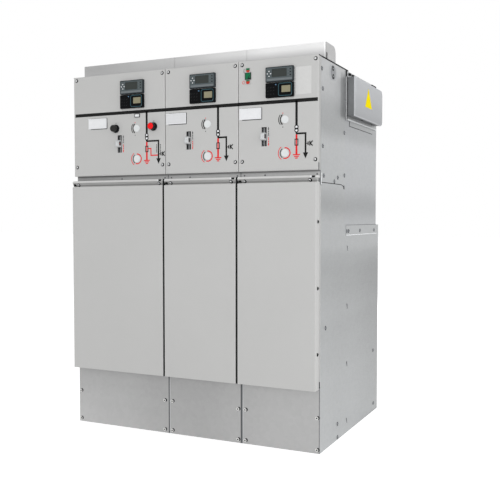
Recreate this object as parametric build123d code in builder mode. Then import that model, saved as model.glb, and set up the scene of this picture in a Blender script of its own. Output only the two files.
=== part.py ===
"""Three-panel gas-insulated medium-voltage switchgear block, in millimetres.

+X is to the right of a person facing the controls, -Y is the front and +Z is up.
The origin is on the floor, in the middle of the base.
"""
import os

from build123d import *

os.makedirs("parts", exist_ok=True)

# Overall sizes
breaker_panel_width = 430
ring_panel_width = 310
body_height = 1400
body_depth = 730
sheet = 2
face_sheet = 1.5
bend = 3

# Base and cable compartments
base_leg = 45
base_thickness = 3
base_height = 40
anchor_hole_radius = 7
anchor_inset = 26
mechanism_reach = 42
tank_reach = 153
mechanism_depth = 262
housing_lip = 31
side_corner_radius = 25
front_flange = 18
rear_flange = 12
plinth_height = 240

# Gas tank
tank_rear_inset = 34
tank_top_drop = 5
tank_edge = 6
strip_height = 39
strip_thickness = 1.5
strip_gap = 18

# Control boards
board_height = 397
board_proud = 22
panel_seam = 2
rail_height = 32

# Cable covers
plinth_lap = 10
rail_show = 19
cover_proud = 40
cover_gap = 8
cover_side_inset = 3
groove_height = 15
groove_depth = 13
groove_step = 3
lip_height = 9
lip_bevel = 7
seal_recess = 4
seal_clearance = 0.3

# Wiring duct on the roof
duct_height = 57
duct_front = 50
duct_depth = 102
duct_corner_radius = 26
duct_seam = 1
duct_end_thickness = 3
duct_end_slot_width = 3
duct_end_slot_height = 22

# Devices set into the boards
device_width = 107
device_proud = 10
device_corner = 2
lcd_frame_margin = 4
cutout_width = 92
cutout_height = 45
cutout_clearance = 0.5
device_body_depth = 14
meter_height = 53
meter_drop = 31.5
meter_screen_width = 56
meter_screen_height = 28
meter_screen_rise = 4.5
screen_recess = 1.5
indicator_height = 52
device_gap = 2.5
lcd_frame_width = 53
lcd_frame_height = 46
lcd_frame_proud = 1.5
lcd_frame_corner = 8
lcd_width = 37
lcd_height = 27
lcd_offset = 3
lcd_rise = 2

# Places on the boards, from the middle of a board and from the roof
device_offset = 10
slot_offset = -52.5
drive_offset = 29
breaker_control_shift = 59
label_left = 4
breaker_label_left = 73
slot_drop = 274
drive_upper_drop = 217
drive_lower_drop = 335
label_drop = 170

# Slide gates
slot_width = 20
slot_height = 68
guide_wall = 3
guide_depth = 13
guide_lip_width = 1.5
guide_lip_depth = 3
gate_clearance = 0.5
gate_foot_clearance = 0.3
knob_height = 26
knob_proud = 21
knob_edge = 4

# Round covers over the drives
drive_cover_diameter = 27
drive_cover_thickness = 3
drive_spigot_diameter = 18
drive_spigot_length = 8

# Push buttons of the wide panel
black_button_offset = -11
red_button_seam_gap = 52
button_drop = 214
button_hole_clearance = 0.3
collar_diameter = 33
collar_proud = 5
collar_barrel_diameter = 22
collar_barrel_length = 12
collar_taper = 12
button_bore = 16
button_stem_clearance = 0.3
button_stem_length = 11
button_gap = 5
black_cap_diameter = 26
black_cap_length = 14
red_cap_diameter = 27
red_cap_length = 15
cap_edge = 3

# Label holders, gas gauge and small windows
label_width = 88
label_height = 40
label_back = 1
label_rim = 3
label_rim_proud = 2.5
gauge_left = 31
gauge_drop = 25.5
gauge_width = 17
gauge_height = 59
gauge_middle_width = 24
gauge_middle_height = 26
gauge_proud = 3
gauge_recess = 1.2
gauge_rim = 2
gauge_end_rim = 1
gauge_window_height = 15
window_offset = 90
window_drop = 168
window_width = 23
window_height = 14

# Fittings on the right side
side_plate_back = 125
side_plate_drop = 38
side_plate_width = 26
side_plate_height = 47
side_plate_thickness = 2
busbar_box_gap = 17
busbar_box_rear_gap = 32
busbar_box_drop = 28
busbar_box_height = 149
busbar_frame_depth = 28
busbar_frame_inset = 1
busbar_cover_depth = 4
busbar_cover_edge = 2
busbar_rear_corner = 24
tray_margin_front = 4
tray_rear_gap = 29
tray_sheet = 2
tray_lip = 4
tray_drop = 15
tray_rim_height = 6
tray_foot_height = 18
tray_foot_front = 44
tray_foot_rear = 39

block_width = breaker_panel_width + 2 * ring_panel_width
left = -block_width / 2
right = block_width / 2
front = -body_depth / 2
rear = body_depth / 2
seams = [left + breaker_panel_width, left + breaker_panel_width + ring_panel_width]
board_bottom = body_height - board_height
board_face = front - board_proud
mechanism_bottom = board_bottom - mechanism_reach
tank_bottom = mechanism_bottom - tank_reach
tank_front = front + mechanism_depth
tank_rear = rear - tank_rear_inset
tank_top = body_height - tank_top_drop
cover_bottom = plinth_height - plinth_lap
cover_top = board_bottom - rail_show
cover_seat = front - sheet
cover_face = front - cover_proud
anchor_spacing_x = block_width - 2 * anchor_inset
anchor_spacing_y = body_depth - 2 * anchor_inset
meter_z = body_height - meter_drop - meter_height / 2
indicator_z = meter_z - (meter_height + indicator_height) / 2 - device_gap
slot_z = body_height - slot_drop
drive_heights = (body_height - drive_upper_drop, body_height - drive_lower_drop)
button_z = body_height - button_drop
breaker_middle = left + breaker_panel_width / 2
black_button_x = breaker_middle + black_button_offset
red_button_x = seams[0] - red_button_seam_gap

# name, left edge, width, middle of the controls, left edge of the label
panels = [
    (
        "left",
        left,
        breaker_panel_width,
        breaker_middle + breaker_control_shift,
        left + breaker_label_left,
    ),
    (
        "middle",
        seams[0],
        ring_panel_width,
        seams[0] + ring_panel_width / 2,
        seams[0] + label_left,
    ),
    (
        "right",
        seams[1],
        ring_panel_width,
        seams[1] + ring_panel_width / 2,
        seams[1] + label_left,
    ),
]


def facing_front(y):
    """A plane that looks forward at depth y, drawn in X and Z."""
    return Plane.XZ.offset(-y)


def facing_right(x):
    """A plane that looks to the right at x, drawn in Y and Z."""
    return Plane.YZ.offset(x)


def save(part, name):
    """Label a finished piece and write it."""
    part.label = name
    export_step(part, f"parts/{name}.step")


def side_corners(bottom, top_front):
    """The L-shaped side of a cable compartment, under the mechanism and the tank."""
    return [
        (front, bottom),
        (rear, bottom),
        (rear, tank_bottom),
        (tank_front, tank_bottom),
        (tank_front, top_front),
        (front, top_front),
    ]


# The base frame: a welded angle ring with two cross bars and an anchor hole at each corner
frame_width = block_width - 2 * sheet
frame_depth = body_depth - sheet
with BuildPart() as base_frame:
    with BuildSketch(Plane.XY):
        with Locations((0, -sheet / 2)):
            Rectangle(frame_width, frame_depth)
            Rectangle(frame_width - 2 * base_leg, frame_depth - 2 * base_leg, mode=Mode.SUBTRACT)
        with Locations([(seam, -sheet / 2) for seam in seams]):
            Rectangle(base_leg, frame_depth)
    extrude(amount=base_thickness)
    with BuildSketch(Plane.XY.offset(base_thickness)):
        with Locations((0, -sheet / 2)):
            Rectangle(frame_width, frame_depth)
            Rectangle(
                frame_width - 2 * base_thickness,
                frame_depth - 2 * base_thickness,
                mode=Mode.SUBTRACT,
            )
        with Locations([(seam, -sheet / 2) for seam in seams]):
            Rectangle(base_thickness, frame_depth)
    extrude(amount=base_height - base_thickness)
    with BuildSketch(Plane.XY):
        with GridLocations(anchor_spacing_x, anchor_spacing_y, 2, 2):
            Circle(anchor_hole_radius)
    extrude(amount=base_thickness, mode=Mode.SUBTRACT)
save(base_frame.part, "base_frame")

# The outer side sheets stand beside the base frame, and reach up to the mechanism and the tank
for name, x in (("left", left), ("right", right - sheet)):
    with BuildPart() as side_sheet:
        with BuildSketch(facing_right(x)):
            with BuildLine():
                Polyline(*side_corners(0, mechanism_bottom), close=True)
            make_face()
        extrude(amount=sheet)
        top_corner = side_sheet.edges().filter_by(Axis.X).group_by(Axis.Z)[-1].sort_by(Axis.Y)[-1]
        fillet(top_corner, side_corner_radius)
    save(side_sheet.part, f"side_sheet_{name}")

# The partitions between the cable compartments, with a folded front flange
with BuildPart() as partitions:
    for seam in seams:
        with BuildSketch(facing_right(seam - sheet / 2)):
            with BuildLine():
                Polyline(*side_corners(base_height, mechanism_bottom - housing_lip), close=True)
            make_face()
        extrude(amount=sheet)
        with BuildSketch(facing_front(front + sheet)):
            with Locations((seam, base_height)):
                Rectangle(
                    2 * front_flange,
                    mechanism_bottom - housing_lip - base_height,
                    align=(Align.CENTER, Align.MIN),
                )
        extrude(amount=sheet)
save(partitions.part, "partitions")

# One rear sheet closes each cable compartment, with a top flange under the tank
with BuildPart() as rear_sheets:
    for name, x, width, middle, label_x in panels:
        clear_left = sheet if name == "left" else panel_seam / 2
        clear_right = sheet if name == "right" else panel_seam / 2
        with BuildSketch(facing_right(x + clear_left)):
            with BuildLine():
                Polyline(
                    (rear, 0),
                    (rear, tank_bottom),
                    (tank_rear - rear_flange, tank_bottom),
                    (tank_rear - rear_flange, tank_bottom - sheet),
                    (rear - sheet, tank_bottom - sheet),
                    (rear - sheet, 0),
                    close=True,
                )
            make_face()
        extrude(amount=width - clear_left - clear_right)
save(rear_sheets.part, "rear_sheets")

# The sealed gas tank behind the mechanisms
with BuildPart() as gas_tank:
    with BuildSketch(Plane.XY.offset(tank_bottom)):
        with Locations((0, (tank_front + tank_rear) / 2)):
            Rectangle(block_width, tank_rear - tank_front)
    extrude(amount=tank_top - tank_bottom)
    rear_edges = gas_tank.edges().filter_by(Axis.Z).group_by(Axis.Y)[-1]
    fillet(rear_edges, tank_edge)
save(gas_tank.part, "gas_tank")

# The lower flange of the tank laps over each side sheet
with BuildPart() as lap_strips:
    for x in (left - strip_thickness, right):
        with BuildSketch(facing_right(x)):
            with Locations((tank_front + strip_gap, tank_bottom)):
                Rectangle(
                    tank_rear - tank_front - strip_gap,
                    strip_height,
                    align=(Align.MIN, Align.MAX),
                )
        extrude(amount=strip_thickness)
save(lap_strips.part, "lap_strips")

# A closed mechanism housing for each panel, with a lip that drops between the side sheets
for name, x, width, middle, label_x in panels:
    with BuildPart() as housing:
        with BuildSketch(facing_right(x)):
            with Locations((front, mechanism_bottom)):
                Rectangle(
                    mechanism_depth,
                    body_height - mechanism_bottom,
                    align=(Align.MIN, Align.MIN),
                )
        extrude(amount=width)
        with BuildSketch(facing_right(x + sheet)):
            with Locations((front, mechanism_bottom)):
                Rectangle(mechanism_depth, housing_lip, align=(Align.MIN, Align.MAX))
        extrude(amount=width - 2 * sheet)
    save(housing.part, f"housing_{name}")

# The rail between the boards and the covers has one length for each panel
with BuildPart() as front_rail:
    for name, x, width, middle, label_x in panels:
        with BuildSketch(facing_front(front)):
            with Locations((x + panel_seam / 2, board_bottom)):
                Rectangle(width - panel_seam, rail_height, align=(Align.MIN, Align.MAX))
        extrude(amount=sheet)
save(front_rail.part, "front_rail")

# The folded cable covers, with a sloping grip groove under the top lip
for name, x, width, middle, label_x in panels:
    left_gap = cover_side_inset if name == "left" else cover_gap / 2
    right_gap = cover_side_inset if name == "right" else cover_gap / 2
    groove_top = cover_top - lip_height
    with BuildPart() as cover:
        with BuildSketch(facing_right(x + left_gap)):
            with BuildLine():
                Polyline(
                    (cover_seat, cover_bottom),
                    (cover_seat, cover_top),
                    (cover_face + lip_bevel, cover_top),
                    (cover_face, cover_top - lip_bevel),
                    (cover_face, groove_top),
                    (cover_face + groove_step, groove_top),
                    (cover_face + groove_depth, groove_top - groove_height),
                    (cover_face, groove_top - groove_height),
                    (cover_face, cover_bottom),
                    close=True,
                )
            make_face()
        extrude(amount=width - left_gap - right_gap)
        fillet(cover.edges().filter_by(Axis.Z).group_by(Axis.Y)[0], bend)
        back = cover.faces().sort_by(Axis.Y)[-1]
        offset(amount=-face_sheet, openings=back)
    save(cover.part, f"cover_{name}")

# Black sealing strips stand in the gaps between the covers
with BuildPart() as cover_seals:
    for seam in seams:
        with BuildSketch(facing_front(cover_seat)):
            with Locations((seam, cover_bottom)):
                Rectangle(
                    cover_gap - 2 * seal_clearance,
                    cover_top - cover_bottom,
                    align=(Align.CENTER, Align.MIN),
                )
        extrude(amount=cover_proud - sheet - seal_recess)
save(cover_seals.part, "cover_seals")

# The plinth plates close the foot of each panel
for name, x, width, middle, label_x in panels:
    with BuildPart() as plinth_plate:
        with BuildSketch(facing_front(front)):
            with Locations((x + panel_seam / 2, 0)):
                Rectangle(width - panel_seam, plinth_height, align=(Align.MIN, Align.MIN))
        extrude(amount=sheet)
    save(plinth_plate.part, f"plinth_plate_{name}")

# The wiring duct runs along the roof in three lengths, with an end cap on each side
def draw_duct_outline():
    """The duct's section, rounded at the upper rear."""
    with Locations((front + duct_front, body_height)):
        Rectangle(duct_depth, duct_height, align=(Align.MIN, Align.MIN))
    fillet(vertices().group_by(Axis.Y)[-1].sort_by(Axis.X)[-1], duct_corner_radius)


for name, x, width, middle, label_x in panels:
    clear_left = duct_end_thickness if name == "left" else duct_seam / 2
    clear_right = duct_end_thickness if name == "right" else duct_seam / 2
    with BuildPart() as duct:
        with BuildSketch(facing_right(x + clear_left)):
            draw_duct_outline()
        extrude(amount=width - clear_left - clear_right)
    save(duct.part, f"duct_{name}")

with BuildPart() as duct_ends:
    for x in (left, right - duct_end_thickness):
        with BuildSketch(facing_right(x)):
            draw_duct_outline()
            with Locations((front + duct_front + 2 * duct_end_slot_width, body_height)):
                Rectangle(
                    duct_end_slot_width,
                    duct_end_slot_height,
                    align=(Align.MIN, Align.MIN),
                    mode=Mode.SUBTRACT,
                )
        extrude(amount=duct_end_thickness)
save(duct_ends.part, "duct_ends")

# The control boards are folded pans with a cut-out for each thing that passes through
for name, x, width, middle, label_x in panels:
    with BuildPart() as board:
        with BuildSketch(facing_front(front)):
            with Locations((x + panel_seam / 2, board_bottom)):
                Rectangle(width - panel_seam, board_height, align=(Align.MIN, Align.MIN))
        extrude(amount=board_proud)
        fillet(board.faces().sort_by(Axis.Y)[0].edges(), bend)
        back = board.faces().sort_by(Axis.Y)[-1]
        offset(amount=-sheet, openings=back)
        with BuildSketch(facing_front(board_face + sheet)):
            with Locations(
                (middle + device_offset, meter_z), (middle + device_offset, indicator_z)
            ):
                Rectangle(cutout_width, cutout_height)
            with Locations((middle + slot_offset, slot_z)):
                Rectangle(slot_width, slot_height)
            with Locations([(middle + drive_offset, height) for height in drive_heights]):
                Circle(drive_spigot_diameter / 2 + cutout_clearance)
            if name == "left":
                with Locations((black_button_x, button_z), (red_button_x, button_z)):
                    Circle(collar_barrel_diameter / 2 + button_hole_clearance)
        extrude(amount=sheet, mode=Mode.SUBTRACT)
    save(board.part, f"board_{name}")

# Each device has a bezel on the board and a body behind it
for name, x, width, middle, label_x in panels:
    device_x = middle + device_offset
    with BuildPart() as meter:
        with BuildSketch(facing_front(board_face)):
            with Locations((device_x, meter_z)):
                Rectangle(device_width, meter_height)
            chamfer(vertices(), device_corner)
        extrude(amount=device_proud)
        chamfer(meter.faces().sort_by(Axis.Y)[0].edges(), screen_recess)
        with BuildSketch(facing_front(board_face)):
            with Locations((device_x, meter_z)):
                Rectangle(cutout_width - cutout_clearance, cutout_height - cutout_clearance)
        extrude(amount=-device_body_depth)
        with BuildSketch(facing_front(board_face - device_proud)):
            with Locations((device_x, meter_z + meter_screen_rise)):
                Rectangle(meter_screen_width, meter_screen_height)
        extrude(amount=-screen_recess, mode=Mode.SUBTRACT)
    save(meter.part, f"meter_{name}")

    lcd_x = device_x + (device_width - lcd_frame_width) / 2 - lcd_frame_margin
    with BuildPart() as indicator:
        with BuildSketch(facing_front(board_face)):
            with Locations((device_x, indicator_z)):
                Rectangle(device_width, indicator_height)
            chamfer(vertices(), device_corner)
        extrude(amount=device_proud)
        chamfer(indicator.faces().sort_by(Axis.Y)[0].edges(), screen_recess)
        with BuildSketch(facing_front(board_face)):
            with Locations((device_x, indicator_z)):
                Rectangle(cutout_width - cutout_clearance, cutout_height - cutout_clearance)
        extrude(amount=-device_body_depth)
        with BuildSketch(facing_front(board_face - device_proud)):
            with Locations((lcd_x, indicator_z)):
                RectangleRounded(lcd_frame_width, lcd_frame_height, lcd_frame_corner)
            with Locations((lcd_x + lcd_offset, indicator_z + lcd_rise)):
                Rectangle(lcd_width, lcd_height, mode=Mode.SUBTRACT)
        extrude(amount=lcd_frame_proud)
    save(indicator.part, f"indicator_{name}")

# The label holders have a raised rim above, below and on the right
with BuildPart() as label_holders:
    for name, x, width, middle, label_x in panels:
        low_z = body_height - label_drop - label_height
        with BuildSketch(facing_front(board_face)):
            with Locations((label_x, low_z)):
                Rectangle(label_width, label_height, align=(Align.MIN, Align.MIN))
        extrude(amount=label_rim_proud)
        with BuildSketch(facing_front(board_face - label_back)):
            with Locations((label_x, low_z + label_rim)):
                Rectangle(
                    label_width - label_rim,
                    label_height - 2 * label_rim,
                    align=(Align.MIN, Align.MIN),
                )
        extrude(amount=label_rim_proud - label_back, mode=Mode.SUBTRACT)
save(label_holders.part, "label_holders")

# The gate guides are channels behind the boards, open to the slots
guide_back = board_face + sheet
with BuildPart() as gate_guides:
    for name, x, width, middle, label_x in panels:
        with BuildSketch(facing_front(guide_back + guide_depth)):
            with Locations((middle + slot_offset, slot_z)):
                Rectangle(slot_width + 2 * guide_wall, slot_height + 2 * guide_wall)
        extrude(amount=guide_depth)
        with BuildSketch(facing_front(guide_back + guide_depth - guide_wall)):
            with Locations((middle + slot_offset, slot_z)):
                Rectangle(slot_width, slot_height)
        extrude(amount=guide_depth - guide_wall - guide_lip_depth, mode=Mode.SUBTRACT)
        with BuildSketch(facing_front(guide_back + guide_lip_depth)):
            with Locations((middle + slot_offset, slot_z)):
                Rectangle(slot_width - 2 * guide_lip_width, slot_height)
        extrude(amount=guide_lip_depth, mode=Mode.SUBTRACT)
save(gate_guides.part, "gate_guides")

# Each gate has a foot held behind the guide's lips and a knob through the slot
for name, x, width, middle, label_x in panels:
    gate_x = middle + slot_offset
    foot_back = guide_back + guide_depth - guide_wall - gate_foot_clearance
    foot_front = guide_back + guide_lip_depth + gate_foot_clearance
    with BuildPart() as gate:
        with BuildSketch(facing_front(foot_back)):
            with Locations((gate_x, slot_z)):
                Rectangle(slot_width - 2 * gate_foot_clearance, knob_height)
        extrude(amount=foot_back - foot_front)
        knob_width = slot_width - 2 * guide_lip_width - 2 * gate_clearance
        with BuildSketch(facing_front(foot_front)):
            with Locations((gate_x, slot_z)):
                Rectangle(knob_width, knob_height)
        extrude(amount=foot_front - board_face + knob_proud)
        fillet(gate.faces().sort_by(Axis.Y)[0].edges(), knob_edge)
    save(gate.part, f"gate_{name}")

# Round covers close the drive sockets
with BuildPart() as drive_covers:
    for name, x, width, middle, label_x in panels:
        for height in drive_heights:
            place = (middle + drive_offset, height)
            with BuildSketch(facing_front(board_face)):
                with Locations(place):
                    Circle(drive_cover_diameter / 2)
            extrude(amount=drive_cover_thickness)
            with BuildSketch(facing_front(board_face)):
                with Locations(place):
                    Circle(drive_spigot_diameter / 2)
            extrude(amount=-drive_spigot_length)
save(drive_covers.part, "drive_covers")

# The push buttons slide in collars that are clamped in the wide panel's board
collar_front = board_face - collar_proud
with BuildPart() as button_collars:
    for x in (black_button_x, red_button_x):
        with BuildSketch(facing_front(board_face)):
            with Locations((x, button_z)):
                Circle(collar_diameter / 2)
        extrude(amount=collar_proud, taper=collar_taper)
        with BuildSketch(facing_front(board_face)):
            with Locations((x, button_z)):
                Circle(collar_barrel_diameter / 2)
        extrude(amount=-collar_barrel_length)
        with BuildSketch(facing_front(collar_front)):
            with Locations((x, button_z)):
                Circle(button_bore / 2)
        extrude(amount=-collar_proud - collar_barrel_length, mode=Mode.SUBTRACT)
save(button_collars.part, "button_collars")

for name, x, diameter, length in (
    ("black_button", black_button_x, black_cap_diameter, black_cap_length),
    ("red_button", red_button_x, red_cap_diameter, red_cap_length),
):
    cap_back = collar_front - button_gap
    with BuildPart() as button:
        with BuildSketch(facing_front(board_face + button_stem_length)):
            with Locations((x, button_z)):
                Circle(button_bore / 2 - button_stem_clearance)
        extrude(amount=board_face + button_stem_length - cap_back)
        with BuildSketch(facing_front(cap_back)):
            with Locations((x, button_z)):
                Circle(diameter / 2)
        extrude(amount=length)
        chamfer(button.faces().sort_by(Axis.Y)[0].edges(), cap_edge)
    save(button.part, name)

# The gas gauge has a wide middle window between two small ones, and a small framed window
# on the busbar line of the wide panel shows the breaker's state
gauge_x = seams[1] + gauge_left + gauge_width / 2
gauge_z = body_height - gauge_drop - gauge_height / 2
gauge_window_rise = (gauge_height - gauge_window_height) / 2 - gauge_end_rim
state_window_place = (breaker_middle + window_offset, body_height - window_drop)
with BuildPart() as state_windows:
    with BuildSketch(facing_front(board_face)):
        with Locations((gauge_x, gauge_z)):
            Rectangle(gauge_width, gauge_height)
            Rectangle(gauge_middle_width, gauge_middle_height)
        with Locations(state_window_place):
            Rectangle(window_width, window_height)
    extrude(amount=gauge_proud)
    with BuildSketch(facing_front(board_face - gauge_proud)):
        with Locations((gauge_x, gauge_z)):
            Rectangle(
                gauge_middle_width - 2 * gauge_rim, gauge_middle_height - 2 * gauge_rim
            )
        with Locations(
            (gauge_x, gauge_z + gauge_window_rise),
            (gauge_x, gauge_z - gauge_window_rise),
        ):
            Rectangle(gauge_width - 2 * gauge_end_rim, gauge_window_height)
        with Locations(state_window_place):
            Rectangle(window_width - 2 * gauge_rim, window_height - 2 * gauge_rim)
    extrude(amount=-gauge_recess, mode=Mode.SUBTRACT)
save(state_windows.part, "state_windows")

# An oblong blanking plate on each outer side of the mechanisms
with BuildPart() as side_plates:
    for x in (left - side_plate_thickness, right):
        with BuildSketch(facing_right(x)):
            with Locations((front + side_plate_back, body_height - side_plate_drop)):
                SlotOverall(side_plate_height, side_plate_width, rotation=90)
        extrude(amount=side_plate_thickness)
save(side_plates.part, "side_plates")

# The tray on the tank's right side has a rim in front and below, and a shorter foot under it
busbar_box_front = tank_front + busbar_box_gap
busbar_box_length = tank_rear - busbar_box_rear_gap - busbar_box_front
busbar_box_bottom = body_height - busbar_box_drop - busbar_box_height
tray_low_y = busbar_box_front - tray_margin_front
tray_length = tank_rear - tray_rear_gap - tray_low_y
tray_low_z = busbar_box_bottom - tray_drop
tray_height = tray_drop + busbar_box_height
tray_foot_length = tray_length - tray_foot_front - tray_foot_rear
with BuildPart() as busbar_tray:
    with BuildSketch(facing_right(right)):
        with Locations((tray_low_y, tray_low_z)):
            Rectangle(tray_length, tray_height, align=(Align.MIN, Align.MIN))
        with Locations((tray_low_y + tray_foot_front, tray_low_z)):
            Rectangle(tray_foot_length, tray_foot_height, align=(Align.MIN, Align.MAX))
    extrude(amount=tray_sheet)
    with BuildSketch(facing_right(right + tray_sheet)):
        with Locations((tray_low_y, tray_low_z)):
            Rectangle(tray_length, tray_rim_height, align=(Align.MIN, Align.MIN))
            Rectangle(tray_sheet, tray_height, align=(Align.MIN, Align.MIN))
    extrude(amount=tray_lip)
save(busbar_tray.part, "busbar_tray")

# The end of the busbars is boxed in by a dark frame and an outer cover, rounded at the rear
for name, x, thickness, inset in (
    ("busbar_frame", right + tray_sheet, busbar_frame_depth, busbar_frame_inset),
    ("busbar_cover", right + tray_sheet + busbar_frame_depth, busbar_cover_depth, 0),
):
    with BuildPart() as busbar_piece:
        with BuildSketch(facing_right(x)):
            with Locations((busbar_box_front + inset, busbar_box_bottom + inset)):
                Rectangle(
                    busbar_box_length - 2 * inset,
                    busbar_box_height - 2 * inset,
                    align=(Align.MIN, Align.MIN),
                )
        extrude(amount=thickness)
        rear_edges = busbar_piece.edges().filter_by(Axis.X).group_by(Axis.Y)[-1]
        fillet(rear_edges, busbar_rear_corner)
        if name == "busbar_cover":
            chamfer(busbar_piece.faces().sort_by(Axis.X)[-1].edges(), busbar_cover_edge)
    save(busbar_piece.part, name)
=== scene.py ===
"""Finishes and small fittings of a three-panel gas-insulated switchgear block.

Lengths are in metres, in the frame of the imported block: +X to the right of a person who faces
the controls, -Y to the front, +Z up, with the origin on the floor.
"""
import math

import bmesh
import bpy
from bpy.props import FloatProperty, FloatVectorProperty, PointerProperty
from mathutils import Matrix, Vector


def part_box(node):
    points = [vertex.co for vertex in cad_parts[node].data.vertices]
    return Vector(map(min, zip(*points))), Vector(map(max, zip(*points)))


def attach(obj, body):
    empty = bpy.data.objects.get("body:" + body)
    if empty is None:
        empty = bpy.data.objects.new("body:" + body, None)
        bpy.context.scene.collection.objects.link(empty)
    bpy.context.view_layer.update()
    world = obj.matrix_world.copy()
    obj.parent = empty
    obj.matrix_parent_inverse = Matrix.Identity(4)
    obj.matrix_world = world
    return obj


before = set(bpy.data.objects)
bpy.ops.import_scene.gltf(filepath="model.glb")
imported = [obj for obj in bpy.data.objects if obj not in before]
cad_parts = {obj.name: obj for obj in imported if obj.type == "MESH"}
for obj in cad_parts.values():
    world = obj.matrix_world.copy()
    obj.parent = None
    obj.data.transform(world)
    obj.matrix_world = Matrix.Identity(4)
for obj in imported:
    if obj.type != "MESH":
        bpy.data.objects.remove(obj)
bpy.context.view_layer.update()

bl_info = {
    "name": "Switchgear Block Finishes",
    "version": (1, 0, 0),
    "blender": (4, 5, 0),
    "location": "View3D > Sidebar > Switchgear",
    "description": "Finishes, screws, prints and displays of a three-panel switchgear block",
    "category": "Object",
}

PANELS = ("left", "middle", "right")
SIDES = {"left": -1, "right": 1}
X, Y, Z = Vector((1, 0, 0)), Vector((0, 1, 0)), Vector((0, 0, 1))


def srgb(red, green, blue):
    """A screen colour, 0 to 255, as the linear values that shaders take."""
    def linear(value):
        value /= 255
        return value / 12.92 if value <= 0.04045 else ((value + 0.055) / 1.055) ** 2.4
    return tuple(linear(value) for value in (red, green, blue))


def length(name, description, default):
    """A length in metres that a user can change."""
    return FloatProperty(
        name=name, description=description, default=default, subtype="DISTANCE",
        unit="LENGTH", precision=4,
    )


def colour(name, description, red, green, blue):
    """A colour that a user can change, written as its screen values."""
    return FloatVectorProperty(
        name=name, description=description, default=srgb(red, green, blue), size=3,
        subtype="COLOR", min=0, max=1,
    )


class FinishSettings(bpy.types.PropertyGroup):
    """Colours of the block's paints, metals, plastics and inks."""
    board_paint: colour("Board paint", "Powder coat of boards and covers", 192, 192, 191)
    duct_paint: colour("Duct paint", "Powder coat of the roof duct", 188, 188, 188)
    box_paint: colour("Box paint", "Cover of the busbar end box", 174, 176, 179)
    box_frame: colour("Box frame", "Frame of the busbar end box", 110, 112, 114)
    zinc: colour("Zinc", "Galvanised sheet", 170, 172, 173)
    tank_steel: colour("Tank steel", "Steel of the gas tank", 170, 172, 174)
    front_zinc: colour("Front zinc", "Galvanised sheet of the plinth and rail", 171, 171, 171)
    screw_steel: colour("Screw steel", "Bright zinc screws", 214, 215, 216)
    dull_steel: colour("Dull steel", "Dull screws on the sides", 128, 131, 134)
    bright_zinc: colour("Bright zinc", "Edges that catch the light", 230, 232, 234)
    # Painted highlight on the lower rim of the busbar box's tray
    bright_rim: colour("Bright rim", "Lower edge of the busbar box's tray", 206, 208, 209)
    collar: colour("Collar", "Bright collars of the plinth screws", 226, 226, 224)
    # Painted highlight on the bent edges of the plinth plates and the tray's front
    edge_zinc: colour("Edge zinc", "Bent edges of plinth plates and tray", 196, 197, 198)
    socket: colour("Socket", "Screw sockets and joints", 34, 34, 36)
    joint: colour("Joint", "Dark joints between sheets", 96, 98, 100)
    # Painted light on the lit left part of each gate slot
    slot_steel: colour("Slot steel", "Bright strip at the back of the gate slots", 158, 160, 161)
    meter_case: colour("Meter case", "Case of the meters", 46, 51, 54)
    meter_face: colour("Meter face", "Front foil of the meters", 84, 92, 94)
    meter_band: colour("Meter band", "Lower band and keys of the meters", 112, 118, 121)
    screen: colour("Screen", "Dark meter screen", 58, 62, 60)
    display: colour("Display", "Plain display of the indicators", 143, 138, 114)
    display_frame: colour("Display frame", "Rounded frame round the display", 54, 84, 92)
    lamp_blue: colour("Lamp", "Small lamp of the indicators", 96, 130, 160)
    black_plastic: colour("Black plastic", "Collars and guides", 28, 30, 32)
    device_black: colour("Device black", "Case of the indicators", 9, 10, 12)
    black_button: colour("Black button", "Cap of the black button", 44, 44, 43)
    red_plastic: colour("Red plastic", "Cap of the red button", 240, 26, 30)
    light_plastic: colour("Light plastic", "Drive covers and knobs", 222, 225, 226)
    label_plastic: colour("Label plastic", "Label holders and cards", 232, 233, 235)
    # A darker grey than the light plastic, as painted shade on the knobs' rounded sides
    knob_plastic: colour("Knob plastic", "Rounded sides of the slide gates' knobs", 194, 196, 197)
    rubber: colour("Rubber", "Seals between the covers", 30, 31, 31)
    black_ink: colour("Black ink", "Line diagram", 26, 26, 26)
    grey_ink: colour("Grey ink", "Turning arrows and symbols", 66, 68, 70)
    red_ink: colour("Red ink", "Earthing side of the diagram", 224, 44, 46)
    gauge_red: colour("Gauge red", "Low range of the gas gauge", 190, 52, 42)
    soft_ring: colour("Soft ring", "Pressed ring round the side plates", 172, 174, 176)
    rosette: colour("Rosette", "Round plates on the sides", 142, 144, 146)
    dim_card: colour("Dim card", "Card on the middle board", 218, 219, 221)
    green_ink: colour("Green", "Good range of the gas gauge", 26, 108, 70)
    yellow_paint: colour("Yellow", "Plain triangular plate", 243, 222, 0)
    plate_silver: colour("Plate silver", "Blank rating plate", 208, 208, 207)


class FastenerSettings(bpy.types.PropertyGroup):
    """Sizes and places of screws, rivets and clips."""
    board_screw: length("Board screw", "Head diameter on the boards", 0.0090)
    # The dark joint round a head is also its painted shadow, set off to its right
    screw_joint: length("Screw joint", "Width of the dark joint round a head", 0.0027)
    board_screw_inset: length("Board screw inset", "From the board's side edge", 0.013)
    board_screw_top: length("Top screw drop", "From the board's top edge", 0.013)
    board_screw_foot: length("Foot screw rise", "From the board's lower edge", 0.037)
    plinth_screw: length("Plinth screw", "Collar diameter on the plinth", 0.012)
    side_screw: length("Side screw", "Head diameter on the sides", 0.0100)
    rivet: length("Rivet", "Rivet diameter on the rail", 0.006)
    groove_screw: length("Groove screw", "Head diameter in the cover grooves", 0.0085)
    rear_screw_pitch: length("Rear pitch", "Between the screws of the rear sheets", 0.18)


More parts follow.
